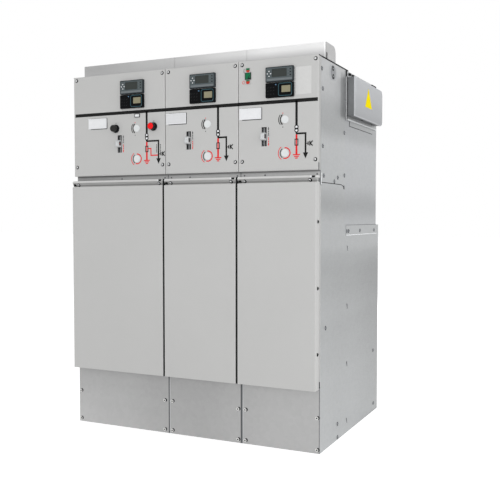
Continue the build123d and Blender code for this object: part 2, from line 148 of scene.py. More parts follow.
class PrintSettings(bpy.types.PropertyGroup):
    """Sizes of the line diagram and the other prints on the boards."""
    thickness: length("Ink thickness", "Height of a print over its board", 0.00025)
    busbar_line: length("Busbar line", "Width of the long black line", 0.0125)
    feeder_line: length("Feeder line", "Width of the lines down each board", 0.0088)
    branch_line: length("Branch line", "Width of the lines to the cable", 0.0064)
    fine_line: length("Fine line", "Width of outlines and arcs", 0.0026)
    symbol_line: length("Symbol line", "Width of the cable symbol's strokes", 0.0042)
    switch_circle: length("Switch circle", "Radius of the two white circles", 0.0042)
    arc_radius: length("Arc radius", "Of the turning arrows round the drives", 0.0188)


class DeviceSettings(bpy.types.PropertyGroup):
    """Sizes of the meters' and indicators' fronts."""
    foil_margin: length("Foil margin", "Case left round the meter's foil", 0.0035)
    foil: length("Foil thickness", "Height of a foil or card", 0.0004)
    key: length("Key", "Half width of a meter key", 0.0022)
    glass_gap: length("Glass gap", "Between a screen and its recess", 0.0004)


class StageSettings(bpy.types.PropertyGroup):
    """Camera, lamps and floor."""
    camera_place: FloatVectorProperty(
        name="Camera", description="Place of the camera", size=3, subtype="TRANSLATION",
        unit="LENGTH", default=(1.43827, -2.87501, 0.83530),
    )
    camera_turn: FloatProperty(
        name="Turn", description="Camera's turn to the left", subtype="ANGLE",
        default=math.radians(25.307),
    )
    camera_dip: FloatProperty(
        name="Dip", description="How far the camera looks down", subtype="ANGLE",
        default=math.radians(2.40),
    )
    lens: FloatProperty(name="Lens", description="Focal length", default=54.69, unit="CAMERA")
    world_level: FloatProperty(name="Room light", description="Light from all sides", default=0.67)
    key_power: FloatProperty(name="Key lamp", description="Lamp in front", default=127)
    side_power: FloatProperty(name="Side lamp", description="Lamp on the right", default=56)
    back_power: FloatProperty(name="Back lamp", description="Lamp behind", default=70)
    floor_paint: colour("Floor", "Pale floor", 236, 236, 236)


class Face:
    """A flat side of the block, with its right, up and outward directions."""

    def __init__(self, origin, right, up, out):
        self.origin = Vector(origin)
        self.right = right
        self.up = up
        self.out = out

    def at(self, place, height=0.0):
        """The point at a place on the face, raised by a height."""
        return self.origin + place[0] * self.right + place[1] * self.up + height * self.out


def front_face(y):
    """A face that looks forward at depth y, with places in X and Z."""
    return Face((0, y, 0), X, Z, -Y)


def side_face(x, out):
    """A side of the block at x, with places in distance from the front and Z."""
    return Face((x, BODY_FRONT, 0), Y, Z, out * X)


def outer_face(node, out):
    """The outer side of a CAD node, on the left where out is -1 and on the right where it is 1."""
    return side_face(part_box(node)[0 if out < 0 else 1].x, out)


def centre(node):
    """The middle of a CAD node's box."""
    low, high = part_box(node)
    return (low + high) / 2


BODY_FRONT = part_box("housing_left")[0].y
BODY_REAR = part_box("side_sheet_right")[1].y
BODY_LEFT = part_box("side_sheet_left")[0].x
BODY_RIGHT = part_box("side_sheet_right")[1].x
SIDE_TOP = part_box("housing_right")[1].z
PLINTH_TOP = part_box("plinth_plate_left")[1].z
BOARD_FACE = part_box("board_left")[0].y
BOARD = front_face(BOARD_FACE)


def polar(place, radius, turn):
    """The point at a radius and an angle, in radians, from a place."""
    return (place[0] + radius * math.cos(turn), place[1] + radius * math.sin(turn))


def circle(place, radius, count=32):
    """The outline of a disc."""
    return [polar(place, radius, math.tau * i / count) for i in range(count)]


def arc(place, radius, start, end, steps=20):
    """Points along an arc, with its angles in degrees."""
    turns = (start + (end - start) * i / steps for i in range(steps + 1))
    return [polar(place, radius, math.radians(turn)) for turn in turns]


def oblong(low, high):
    """The outline of a rectangle between two corners."""
    return [low, (high[0], low[1]), high, (low[0], high[1])]


def box_outline(place, width, height):
    """The outline of a rectangle about its middle."""
    return oblong(
        (place[0] - width / 2, place[1] - height / 2),
        (place[0] + width / 2, place[1] + height / 2),
    )


def rounded(place, width, height, radius, steps=6):
    """The outline of a rectangle with round corners, about its middle."""
    points = []
    for quarter, (sx, sy) in enumerate(((1, 1), (-1, 1), (-1, -1), (1, -1))):
        corner = (
            place[0] + sx * (width / 2 - radius),
            place[1] + sy * (height / 2 - radius),
        )
        for step in range(steps + 1):
            points.append(polar(corner, radius, math.pi / 2 * (quarter + step / steps)))
    return points


def half_round(place, width, height, rise, up):
    """The outline of a plate whose upper or lower end is round."""
    x, z = place
    side = 1 if up else -1
    half = side * width / 2
    foot = z - side * height / 2
    shoulder = height / 2 - rise
    curve = [
        (x + half * math.cos(turn), z + side * (shoulder + rise * math.sin(turn)))
        for turn in (math.pi * step / 12 for step in range(13))
    ]
    return [(x - half, foot), (x + half, foot)] + curve


def arrow_head(tip, turn, size):
    """A small triangle that points along an angle in degrees."""
    corners = ((0, 1.0), (125, 0.75), (235, 0.75))
    return [polar(tip, size * reach, math.radians(turn + lean)) for lean, reach in corners]


def offset_line(points, distance, closed=False):
    """The line moved to its left by a distance, with mitred corners."""
    moved = []
    count = len(points)
    for i, point in enumerate(points):
        before = points[i - 1] if closed or i > 0 else None
        after = points[(i + 1) % count] if closed or i < count - 1 else None
        normals = []
        for start, end in ((before, point), (point, after)):
            if start is not None and end is not None:
                along = (Vector(end) - Vector(start)).normalized()
                normals.append(Vector((-along.y, along.x)))
        normal = sum(normals, Vector((0, 0))).normalized()
        reach = distance / max(normal.dot(normals[0]), 0.3)
        moved.append((point[0] + reach * normal.x, point[1] + reach * normal.y))
    return moved


def band(points, width):
    """The outline of a line of some width."""
    return offset_line(points, -width / 2) + offset_line(points, width / 2)[::-1]


# Profiles of heads, as shares of their radius
SCREW_HEAD = ((1, 0), (1, 0.22), (0.9, 0.5), (0.68, 0.64), (0.5, 0.67))
SCREW_SOCKET = ((0.46, 0.55), (0.46, 0.69))
RIVET_HEAD = ((1, 0), (0.92, 0.3), (0.6, 0.55), (0.2, 0.64))
# The dark joint round a head is set off to its right and a little down as its painted shadow, in
# shares of the joint's width
SCREW_SHADOW_SHIFT = (0.55, -0.2)
# One layer of the thin patches that draw joints and shadows: a higher one covers a lower one
LAYER = 0.0001


class Piece:
    """A mesh of several solids, each with its own finish."""

    def __init__(self, name):
        self.name = name
        self.shape = bmesh.new()
        self.finishes = []

    def finish_index(self, finish):
        """The slot of a finish on this piece."""
        if finish not in self.finishes:
            self.finishes.append(finish)
        return self.finishes.index(finish)

    def loft(self, rings, finish, closed=False):
        """Skin rings of points one after another, and close the ends."""
        index = self.finish_index(finish)
        rows = [[self.shape.verts.new(point) for point in ring] for ring in rings]
        faces = []
        for lower, upper in zip(rows, rows[1:] + rows[:1] if closed else rows[1:]):
            for i, corner in enumerate(lower):
                j = (i + 1) % len(lower)
                faces.append(self.shape.faces.new((corner, lower[j], upper[j], upper[i])))
        if not closed:
            faces.append(self.shape.faces.new(rows[0][::-1]))
            faces.append(self.shape.faces.new(rows[-1]))
        for item in faces:
            item.material_index = index

    def slab(self, face, outline, low, high, finish, edge=0.0):
        """A plate with an outline between two heights, with its upper edge broken."""
        rings = [[face.at(p, low) for p in outline], [face.at(p, high - edge) for p in outline]]
        if edge:
            inner = offset_line(outline, edge, closed=True)
            rings.append([face.at(p, high) for p in inner])
        self.loft(rings, finish)

    def patch(self, face, outline, finish, layer=3):
        """A thin patch that draws a joint, a shadow or a bright edge."""
        self.slab(face, outline, 0, layer * LAYER, finish)

    def rim(self, face, outer, inner, high, finish):
        """A flat ring between two outlines with as many points."""
        rings = [
            [face.at(p, 0) for p in outer],
            [face.at(p, high) for p in outer],
            [face.at(p, high) for p in inner],
            [face.at(p, 0) for p in inner],
        ]
        self.loft(rings, finish, closed=True)

    def turned(self, face, place, profile, finish, scale=1.0, count=24, lobes=0.0):
        """A turned form from radius and height pairs, with six lobes where asked."""
        rings = []
        for radius, height in profile:
            rings.append([])
            for i in range(count):
                turn = math.tau * i / count
                reach = scale * radius * (1 + lobes * math.cos(6 * turn))
                rings[-1].append(face.at(polar(place, reach, turn), scale * height))
        self.loft(rings, finish)

    def disc(self, face, place, radius, low, high, finish):
        """A round plate between two heights."""
        self.turned(face, place, [(radius, low), (radius, high)], finish)

    def screw(self, face, place, diameter, joint=0.0016, finish="screw steel"):
        """A pan head screw with a lobed socket, over a dark joint that is set off as its painted
        shadow.
        """
        radius = diameter / 2
        reach = radius + joint
        spot = (place[0] + joint * SCREW_SHADOW_SHIFT[0], place[1] + joint * SCREW_SHADOW_SHIFT[1])
        self.turned(face, spot, [(reach, 0), (reach * 0.97, 2 * LAYER)], "socket")
        self.turned(face, place, SCREW_HEAD, finish, scale=radius)
        self.turned(face, place, SCREW_SOCKET, "socket", scale=radius, lobes=0.14)

    def build(self, body="block", slot=None):
        """Turn the solids into an object that rides on a body."""
        bmesh.ops.recalc_face_normals(self.shape, faces=self.shape.faces)
        mesh = bpy.data.meshes.new(self.name)
        self.shape.to_mesh(mesh)
        self.shape.free()
        mesh.shade_smooth()
        mesh.set_sharp_from_angle(angle=math.radians(38))
        for finish in self.finishes:
            mesh.materials.append(bpy.data.materials[finish])
        piece = bpy.data.objects.new(self.name, mesh)
        bpy.context.scene.collection.objects.link(piece)
        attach(piece, body)
        return piece


class Print(Piece):
    """A piece made of inks on the boards, where each print is a number of ink layers high."""

    def __init__(self, name, prints):
        super().__init__(name)
        self.ink = prints.thickness

    def fill(self, outline, finish, layers=1.0):
        """A filled outline."""
        self.slab(BOARD, outline, 0, self.ink * layers, finish)

    def stroke(self, points, width, finish, layers=1.0):
        """A line of some width."""
        self.fill(band(points, width), finish, layers)

    def ring(self, outer, inner, finish, layers=1.0):
        """The space between two outlines."""
        self.rim(BOARD, outer, inner, self.ink * layers, finish)


def direct_rays(tree):
    """1 for rays from the camera, in gloss or through glass, and 0 for those that carry light."""
    path = tree.nodes.new("ShaderNodeLightPath")
    value = path.outputs["Is Camera Ray"]
    for kind in ("Is Glossy Ray", "Is Transmission Ray"):
        either = tree.nodes.new("ShaderNodeMath")
        either.operation = "MAXIMUM"
        tree.links.new(value, either.inputs[0])
        tree.links.new(path.outputs[kind], either.inputs[1])
        value = either.outputs["Value"]
    return value


FULL = (1, 1, 1)
WIDTH = (BODY_LEFT, BODY_RIGHT)


class Recipe:
    """A finish made of shader nodes."""
    LEVELS = {"specular": "Specular IOR Level", "metallic": "Metallic"}

    def __init__(self, name, **levels):
        material = bpy.data.materials.new(name)
        material.use_nodes = True
        self.tree = material.node_tree
        self.tree.nodes.clear()
        self.shader = self.add("ShaderNodeBsdfPrincipled")
        output = self.add("ShaderNodeOutputMaterial")
        self.join(self.shader.outputs["BSDF"], output.inputs["Surface"])
        for level, value in levels.items():
            self.shader.inputs[self.LEVELS[level]].default_value = value
        self.place = self.add("ShaderNodeTexCoord").outputs["Object"]

    def add(self, kind, **values):
        """A new node, with values for its own settings."""
        node = self.tree.nodes.new(kind)
        for name, value in values.items():
            setattr(node, name, value)
        return node

    def join(self, output, socket):
        """Link an output to a socket."""
        self.tree.links.new(output, socket)

    def maths(self, operation, first, second):
        """Two values joined by an operation."""
        node = self.add("ShaderNodeMath", operation=operation)
        self.join(first, node.inputs[0])
        self.join(second, node.inputs[1])
        return node.outputs["Value"]

    def stretched(self, scale):
        """The place on the object, scaled by a different amount along each axis."""
        mapping = self.add("ShaderNodeMapping")
        self.join(self.place, mapping.inputs["Vector"])
        mapping.inputs["Scale"].default_value = scale
        return mapping.outputs["Vector"]

    def noise(self, scale, detail=3.0, place=None):
        """Soft random values, about 0.5."""
        node = self.add("ShaderNodeTexNoise")
        self.join(place or self.place, node.inputs["Vector"])
        node.inputs["Scale"].default_value = scale
        node.inputs["Detail"].default_value = detail
        return node.outputs["Fac"]

    def spread(self, value, low, high, start=0.0, end=1.0):
        """A value mapped from one range to another, and held at the ends."""
        node = self.add("ShaderNodeMapRange")
        self.join(value, node.inputs["Value"])
        sockets = ("From Min", "From Max", "To Min", "To Max")
        for name, number in zip(sockets, (start, end, low, high)):
            node.inputs[name].default_value = number
        return node.outputs["Result"]

    def axis(self, name):
        """One coordinate of the place on the object."""
        node = self.add("ShaderNodeSeparateXYZ")
        self.join(self.place, node.inputs["Vector"])
        return node.outputs[name]

    def past(self, axis, low, high):
        """A factor that rises from 0 to 1 between two places on an axis."""
        return self.spread(self.axis(axis), 0, 1, low, high)

    def before(self, axis, low, high):
        """A factor that falls from 1 to 0 between two places on an axis."""
        return self.spread(self.axis(axis), 1, 0, low, high)

    def within(self, axis, low, high, soft=0.0003):
        """1 between two places on an axis and 0 outside them, with soft ends."""
        return self.maths(
            "MINIMUM", self.past(axis, low - soft, low), self.before(axis, high, high + soft),
        )

    def steps(self, value, stops):
        """A grey factor that passes through stops of position and level."""
        node = self.add("ShaderNodeValToRGB")
        self.join(value, node.inputs["Fac"])
        ramp = node.color_ramp
        ramp.interpolation = "EASE"
        while len(ramp.elements) < len(stops):
            ramp.elements.new(0.5)
        for element, (position, level) in zip(ramp.elements, stops):
            element.position = position
            element.color = (level, level, level, 1)
        return node.outputs["Color"]

    def along(self, axis, span, stops):
        """A grey factor that passes through stops from one place on an axis to another."""
        return self.steps(self.past(axis, *span), stops)

    def mix(self, factor, first, second, blend="MIX"):
        """Two colours mixed by a factor; either may be an output."""
        node = self.add("ShaderNodeMix", data_type="RGBA", blend_type=blend)
        if isinstance(factor, (int, float)):
            node.inputs["Factor"].default_value = factor
        else:
            self.join(factor, node.inputs["Factor"])
        for socket, value in ((node.inputs[6], first), (node.inputs[7], second)):
            if isinstance(value, bpy.types.NodeSocket):
                self.join(value, socket)
            else:
                socket.default_value = (*value, 1)
        return node.outputs[2]

    def times(self, first, second):
        """Two colours multiplied."""
        return self.mix(1.0, first, second, blend="MULTIPLY")

    def scaled(self, shade, level, factor):
        """A shade times a level where a factor is 1, and as it was where it is 0."""
        return self.times(shade, self.mix(factor, FULL, (level, level, level)))

    def varied(self, tone, amount, scale):
        """A colour that drifts a little lighter and darker."""
        darker = tuple(value * (1 - amount) for value in tone)
        lighter = tuple(min(1, value * (1 + amount)) for value in tone)
        return self.mix(self.spread(self.noise(scale), 0, 1, 0.3, 0.7), darker, lighter)

    def relief(self, height, depth):
        """Bump from a height, with its depth in metres."""
        node = self.add("ShaderNodeBump")
        node.inputs["Strength"].default_value = 1.0
        node.inputs["Distance"].default_value = depth
        self.join(height, node.inputs["Height"])
        self.join(node.outputs["Normal"], self.shader.inputs["Normal"])

    def wear(self, base, low, high, scale):
        """Colour and a roughness that drifts between two levels."""
        self.join(base, self.shader.inputs["Base Color"])
        self.roughen(self.noise(scale), low, high)

    def roughen(self, value, low, high):
        """A roughness between two levels, from a soft random value."""
        self.join(self.spread(value, low, high, 0.3, 0.7), self.shader.inputs["Roughness"])


def powder_coat(name, tone, shade=None):
    """Powder coat: matt, with a fine orange peel; a painted shade may make it lighter or darker from
    place to place.
    """
    recipe = Recipe(name, specular=0.3)
    base = recipe.varied(tone, amount=0.012, scale=3.2)
    if shade:
        base = recipe.times(base, shade(recipe))
    recipe.wear(base, low=0.42, high=0.5, scale=160)
    recipe.relief(recipe.noise(900, detail=2.0), depth=0.00002)


def duct_shade(recipe):
    """Painted reflection on the duct: its upper half darker on the left and bright on the right, and a
    painted highlight on its right edge.
    """
    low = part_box("duct_middle")[0].z
    lower = recipe.along("X", WIDTH, ((0, 1.0), (0.6, 1.02), (1, 1.07)))
    upper = recipe.along(
        "X", WIDTH, ((0, 0.86), (0.38, 1.09), (0.65, 1.47), (0.8, 1.76), (1, 1.75)),
    )
    shade = recipe.mix(recipe.past("Z", low + 0.012, low + 0.042), lower, upper)
    return recipe.scaled(shade, 1.25, recipe.within("X", BODY_RIGHT - 0.0075, BODY_RIGHT, 0.001))


def box_shade(recipe):
    """Painted shade on the box's cover, darker towards its foot, and painted highlights on its front
    and lower edges.
    """
    low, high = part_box("busbar_cover")
    shade = recipe.along("Z", (low.z, high.z), ((0, 0.74), (0.35, 0.85), (0.7, 0.97), (1, 1.02)))
    for axis, start, level in (("Y", low.y, 1.22), ("Z", low.z, 1.3)):
        edge = recipe.within(axis, start - 0.01, start + 0.0035, soft=0.002)
        shade = recipe.scaled(shade, level, edge)
    return shade


def cover_shade(recipe):
    """Painted highlights on a cover's lip and left edge, and painted shade in its grip groove, most of
    all at its foot.
    """
    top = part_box("cover_right")[1].z
    shade = recipe.along("Z", (top - 0.024, top), (
        (0, 1.0), (0.01, 1.26), (0.1, 1.26), (0.13, 0.52), (0.28, 0.56), (0.36, 0.74),
        (0.68, 0.76), (0.72, 1.22), (1, 1.22),
    ))
    for name in PANELS:
        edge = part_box(f"cover_{name}")[0].x
        shade = recipe.scaled(shade, 1.2, recipe.within("X", edge - 0.001, edge + 0.0032))
    return shade


def board_shade(recipe):
    """Painted shade on the right board's outer return, darker than its face, and a painted highlight
    on its left edge.
    """
    low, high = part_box("board_right")
    shade = recipe.along("X", (high.x - 0.0012, high.x - 0.0004), ((0, 1.0), (1, 0.81)))
    return recipe.scaled(shade, 1.15, recipe.within("X", low.x - 0.001, low.x + 0.0032))


def side_shade(recipe):
    """Painted light and shade on the side sheets: brighter in front, darker behind, and a painted
    shadow beside the busbar box.
    """
    across = recipe.along("Y", (BODY_FRONT, BODY_REAR), ((0, 1.08), (0.35, 1.0), (1, 0.82)))
    shade = recipe.mix(recipe.before("Z", 0.62, 0.72), FULL, across)
    low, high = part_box("busbar_tray")
    beside = recipe.maths(
        "MULTIPLY",
        recipe.within("Z", low.z + 0.03, high.z, soft=0.012),
        recipe.within("Y", low.y - 0.064, low.y, soft=0.0015),
    )
    fade = recipe.along(
        "Y", (low.y - 0.068, low.y), ((0, 0.76), (0.3, 0.73), (0.6, 0.69), (1, 0.56)),
    )
    shadow = recipe.mix(beside, FULL, fade)
    shade = recipe.times(shade, recipe.mix(recipe.past("X", 0, BODY_RIGHT / 2), FULL, shadow))
    down = recipe.along(
        "Z", (0, 1.0), ((0, 1.03), (0.15, 0.99), (0.3, 0.975), (0.55, 0.965), (0.75, 1.0)),
    )
    shade = recipe.times(shade, down)
    return recipe.times(shade, recipe.mix(recipe.past("Z", 1.2, 1.3), FULL, (1.06, 1.05, 1.05)))


def plinth_shade(recipe):
    """Painted light and shade on the plinth: brighter at its foot and a painted shadow under the
    covers, mostly on the left.
    """
    down = recipe.along("Z", (0, PLINTH_TOP), ((0, 1.22), (0.4, 1.08), (0.75, 0.98), (1, 0.86)))
    return recipe.mix(recipe.spread(recipe.axis("X"), 1, 0.2, *WIDTH), FULL, down)


def rail_shade(recipe):
    """Painted shade on the rail, darker on the left."""
    return recipe.along(
        "X", WIDTH, ((0, 0.66), (0.1, 0.74), (0.3, 0.89), (0.5, 0.95), (0.7, 1.0), (1, 1.02)),
    )


def zinc_coat(
    name, tone, bands, axis="Z", span=(0.0, 1.4), metallic=0.55, spangle=70, shade=None,
):
    """Hot dip zinc: cool grey, a faint spangle, a rolled grain, and soft painted bands of reflected
    light and shade.
    """
    recipe = Recipe(name, metallic=metallic)
    crystals = recipe.add("ShaderNodeTexVoronoi")
    recipe.join(recipe.place, crystals.inputs["Vector"])
    crystals.inputs["Scale"].default_value = spangle
    grain = recipe.add("ShaderNodeSeparateColor")
    recipe.join(crystals.outputs["Color"], grain.inputs["Color"])
    base = recipe.mix(
        recipe.spread(grain.outputs["Red"], 0, 1),
        tuple(value * 0.975 for value in tone),
        tuple(min(1, value * 1.02) for value in tone),
    )
    drift = recipe.noise(2.2, 2.0, recipe.stretched((1, 1, 2.5)))
    height = recipe.maths("ADD", recipe.past(axis, *span), recipe.spread(drift, -0.02, 0.02))
    base = recipe.times(base, recipe.steps(height, bands))
    if shade:
        base = recipe.times(base, shade(recipe))
    recipe.join(base, recipe.shader.inputs["Base Color"])
    rolled = recipe.noise(60, 3.0, recipe.stretched((1, 1, 14)))
    recipe.roughen(rolled, 0.34, 0.46)
    recipe.relief(rolled, depth=0.00002)


def moulded(name, tone, roughness, specular=0.12, grain=700):
    """Moulded plastic with a fine spark-eroded grain."""
    recipe = Recipe(name, specular=specular)
    recipe.wear(recipe.varied(tone, 0.03, 40), roughness - 0.04, roughness + 0.05, 90)
    recipe.relief(recipe.noise(grain, detail=2.0), depth=0.000015)


def printed(name, tone, roughness=0.5, specular=0.1):
    """Screen print or foil: almost flat, with a slight unevenness of the ink."""
    recipe = Recipe(name, specular=specular)
    recipe.wear(recipe.varied(tone, 0.02, 120), roughness - 0.03, roughness + 0.05, 200)


def plated(name, tone):
    """Bright zinc plate of screws and rivets."""
    recipe = Recipe(name, metallic=0.8)
    recipe.wear(recipe.varied(tone, 0.04, 300), low=0.24, high=0.36, scale=500)


def glazed(name, tone, rows):
    """A display behind clear plastic, with the faint rows of its cells."""
    recipe = Recipe(name, specular=0.12)
    wave = recipe.add("ShaderNodeTexWave", bands_direction="Z")
    recipe.join(recipe.place, wave.inputs["Vector"])
    wave.inputs["Scale"].default_value = rows
    darker = tuple(value * 0.93 for value in tone)
    cells = recipe.mix(wave.outputs["Fac"], darker, tone)
    clouded = recipe.mix(recipe.spread(recipe.noise(30), 0, 0.5, 0.35, 0.65), cells, tone)
    recipe.wear(clouded, low=0.3, high=0.4, scale=60)


def red_cap(name, front, body):
    """A button with a red front, whose side behind it is painted dark as painted shade."""
    recipe = Recipe(name, specular=0.12)
    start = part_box("red_button")[0].y
    # Past the front's first 2 mm the cap's side takes the dark tone, as painted shade
    depth = recipe.past("Y", start + 0.0016, start + 0.0020)
    tone = recipe.mix(depth, recipe.varied(front, 0.03, 40), recipe.varied(body, 0.03, 40))
    recipe.wear(tone, low=0.32, high=0.41, scale=90)
    recipe.relief(recipe.noise(700, detail=2.0), depth=0.000015)


GAUGE_HEIGHT = 0.059
GAUGE_END = 0.0165


def gauge_frame(name, dark, pale):
    """The gauge's dark middle frame between pale ends, and the dark window on the left board."""
    recipe = Recipe(name, specular=0.4)
    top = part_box("state_windows")[1].z
    soft = 0.0002
    foot = top - GAUGE_HEIGHT + GAUGE_END
    above = recipe.past("Z", top - GAUGE_END - soft, top - GAUGE_END)
    ends = recipe.maths("MAXIMUM", above, recipe.before("Z", foot, foot + soft))
    pick = recipe.maths("MULTIPLY", ends, recipe.past("X", 0, 0.01))
    tone = recipe.mix(pick, recipe.varied(dark, 0.03, 60), recipe.varied(pale, 0.02, 60))
    recipe.wear(tone, low=0.4, high=0.5, scale=150)


# Painted bands of reflected light and shade on the sheets, as position and level
SIDE_BANDS = (
    (0.0, 0.98), (0.06, 0.92), (0.15, 0.86), (0.25, 0.79), (0.31, 0.76), (0.35, 0.8),
    (0.42, 0.76), (0.46, 0.75), (0.49, 0.8), (0.525, 0.95), (0.575, 0.97), (0.63, 0.76),
    (0.7, 1.0), (0.79, 1.02), (0.83, 0.8), (0.87, 0.87), (0.92, 1.04),
)
PLINTH_BANDS = ((0.0, 0.97), (0.2, 0.94), (0.38, 0.86), (0.55, 0.85), (0.7, 0.92), (0.85, 0.98))
# The rail's bands fall dark at its top, as a painted shadow under the boards
RAIL_BANDS = ((0.0, 1.03), (0.5, 1.08), (0.72, 0.88), (0.88, 0.5), (1.0, 0.36))
BOX_BANDS = ((0.0, 0.7), (0.05, 0.97), (0.5, 1.05), (1.0, 0.95))

# Finishes that need only the colour with their own name, and a few levels
FITTING_FINISHES = (
    (plated, {"screw steel": (), "dull steel": (), "bright zinc": ()}),
    (glazed, {"screen": (900,), "display": (1200,)}),
    (moulded, {
        "socket": (0.6, 0.05), "meter case": (0.45,), "display frame": (0.4,), "lamp blue": (0.3,),
        "black plastic": (0.4,), "device black": (0.42, 0.06), "black button": (0.42,),
        "light plastic": (0.42, 0.3), "knob plastic": (0.4, 0.3), "label plastic": (0.4, 0.3),
        "rubber": (0.7, 0.05, 350),
    }),
    (printed, {
        "edge zinc": (), "bright rim": (), "collar": (), "joint": (0.6,), "slot steel": (),
        "meter face": (), "meter band": (), "black ink": (), "grey ink": (), "red ink": (),
        "green ink": (), "gauge red": (), "rosette": (), "soft ring": (), "dim card": (),
        "yellow paint": (0.6, 0.01), "plate silver": (0.42,),
    }),
)


def make_sheet_finishes(tones):
    """The paints and the galvanised sheets."""
    powder_coat("board paint", tones.board_paint, board_shade)
    powder_coat("cover paint", tones.board_paint, cover_shade)
    powder_coat("edge paint", tones.board_paint)
    powder_coat("duct paint", tones.duct_paint, duct_shade)
    # The duct's ends take the duct's paint darkened, as painted shade
    powder_coat("duct end paint", tuple(value * 0.86 for value in tones.duct_paint))
    powder_coat("box paint", tones.box_paint, box_shade)
    zinc_coat("zinc", tones.zinc, SIDE_BANDS, shade=side_shade)
    zinc_coat("tank steel", tones.tank_steel, SIDE_BANDS, spangle=90)
    zinc_coat("plinth zinc", tones.front_zinc, PLINTH_BANDS, "X", WIDTH, shade=plinth_shade)
    low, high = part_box("front_rail")
    rail = (low.z + 0.012, high.z)
    zinc_coat("rail zinc", tones.front_zinc, RAIL_BANDS, "Z", rail, 0.3, shade=rail_shade)
    low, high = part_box("busbar_frame")
    zinc_coat("box frame", tones.box_frame, BOX_BANDS, "Z", (low.z, high.z), 0.2)


def make_fitting_finishes(tones):
    """The metals, plastics and inks of the fittings."""
    for maker, finishes in FITTING_FINISHES:
        for finish, levels in finishes.items():
            maker(finish, getattr(tones, finish.replace(" ", "_")), *levels)
    printed("white ink", tones.label_plastic)
    red_cap("red cap", tones.red_plastic, tones.black_plastic)
    gauge_frame("gauge frame", tones.black_plastic, tones.board_paint)


NODE_FINISHES = {
    "board paint": [f"board_{name}" for name in PANELS],
    "cover paint": [f"cover_{name}" for name in PANELS],
    "duct paint": [f"duct_{name}" for name in PANELS],
    "duct end paint": ["duct_ends"],
    "box paint": ["busbar_cover"],
    "box frame": ["busbar_frame"],
    "zinc": [
        "side_sheet_left", "side_sheet_right", "housing_left", "housing_middle", "housing_right",
        "side_plates", "lap_strips", "partitions", "rear_sheets", "base_frame", "busbar_tray",
    ],
    "rail zinc": ["front_rail"],
    "plinth zinc": [f"plinth_plate_{name}" for name in PANELS],
    "tank steel": ["gas_tank"],
    "meter case": [f"meter_{name}" for name in PANELS],
    "black plastic": ["button_collars", "gate_guides"],
    "device black": [f"indicator_{name}" for name in PANELS],
    "light plastic": ["drive_covers"],
    "knob plastic": [f"gate_{name}" for name in PANELS],
    "label plastic": ["label_holders"],
    "rubber": ["cover_seals"],
    "black button": ["black_button"],
    "red cap": ["red_button"],
    "gauge frame": ["state_windows"],
}


def coat_nodes():
    """Give each CAD node its finish."""
    left_over = set(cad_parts)
    for finish, names in NODE_FINISHES.items():
        for name in names:
            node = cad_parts[name]
            node.data.materials.clear()
            node.data.materials.append(bpy.data.materials[finish])
            left_over.discard(name)
    if left_over:
        raise RuntimeError(f"nodes with no finish: {sorted(left_over)}")


def make_board_screws(fasteners):
    """Four screws near the corners of each control board."""
    piece = Piece("board_screws")
    inset = fasteners.board_screw_inset
    for name in PANELS:
        low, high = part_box(f"board_{name}")
        for x in (low.x + inset, high.x - inset):
            for z in (high.z - fasteners.board_screw_top, low.z + fasteners.board_screw_foot):
                piece.screw(BOARD, (x, z), fasteners.board_screw, joint=fasteners.screw_joint)
    piece.build(slot="galvanised")


BOARD_BEND = 0.003
BEND_STEPS = 5
BEND_STEP = math.radians(16)


def wrapped_band(piece, low_x, high_x, z, width, thickness, finish):
    """A band across a board that follows the bends at the board's two edges."""
    section = []
    steps = range(BEND_STEPS)
    ends = ((low_x + BOARD_BEND, -1, reversed(steps)), (high_x - BOARD_BEND, 1, steps))
    for corner, out, order in ends:
        for step in order:
            reach, drop = math.sin(BEND_STEP * step), math.cos(BEND_STEP * step)
            place = (corner + out * BOARD_BEND * reach, BOARD_FACE + BOARD_BEND * (1 - drop), z)
            section.append((Vector(place), Vector((out * reach, -drop, 0))))
    half = width / 2
    profile = ((-LAYER, -half), (thickness, -half), (thickness, half), (-LAYER, half))
    rings = [
        [place + lean * rise + Z * side for rise, side in profile] for place, lean in section
    ]
    piece.loft(rings, finish)


# The line diagram's heights and sizes
BUSBAR_Z = 1.2465
BUSBAR_MARGIN = 0.005
BUSBAR_END = 0.001
CIRCLES_Z = (1.1546, 1.1428)
CIRCLE_EDGE = 0.0036
DASH = (0.0140, 0.0056)
NODE_Z = 1.1315
ARROW_TIP_Z = 1.0435
ARROW_HEAD = 0.021
ARROW_HALF = 0.0098
FUSE_Z = (1.0895, 1.1135)
FUSE_WIDTH = 0.0140
FUSE_WALL = 0.0032
FUSE_WIRE = 0.0046
EARTH_Z = 1.0580
EARTH_BARS = (0.0270, 0.0185, 0.0100)
EARTH_BAR_WIDTH = 0.0038
EARTH_PITCH = 0.0060
LOWER_FEEDER = 0.8
# From a panel's print line to its feeder and its cable line, and the tap's reach and height
DIAGRAM_PLACES = {
    "left": (0.0732, 0.126, 0.012, 1.0810),
    "middle": (0.072, 0.106, 0.011, 1.0957),
    "right": (0.072, 0.106, 0.011, 1.0957),
}


def print_line(name):
    """The X from which a panel's prints are placed, a little left of its meter's middle."""
    return centre(f"meter_{name}").x - 0.010


def make_busbar_line(prints):
    """The long black line of the diagram, in one length on each board."""
    piece = Piece("busbar_line")
    width = prints.busbar_line
    for name in PANELS:
        low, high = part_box(f"board_{name}")
        start = low.x + (BUSBAR_MARGIN if name == "left" else 0)
        end = high.x - (BUSBAR_END if name == "right" else 0)
        wrapped_band(piece, start, end, BUSBAR_Z, width, prints.thickness, "black ink")
        if name != "left":
            gap = box_outline((low.x - 0.001, BUSBAR_Z), 0.0019, width)
            piece.slab(front_face(BOARD_FACE + 0.004), gap, 0, 0.003, "black ink")
    piece.build()


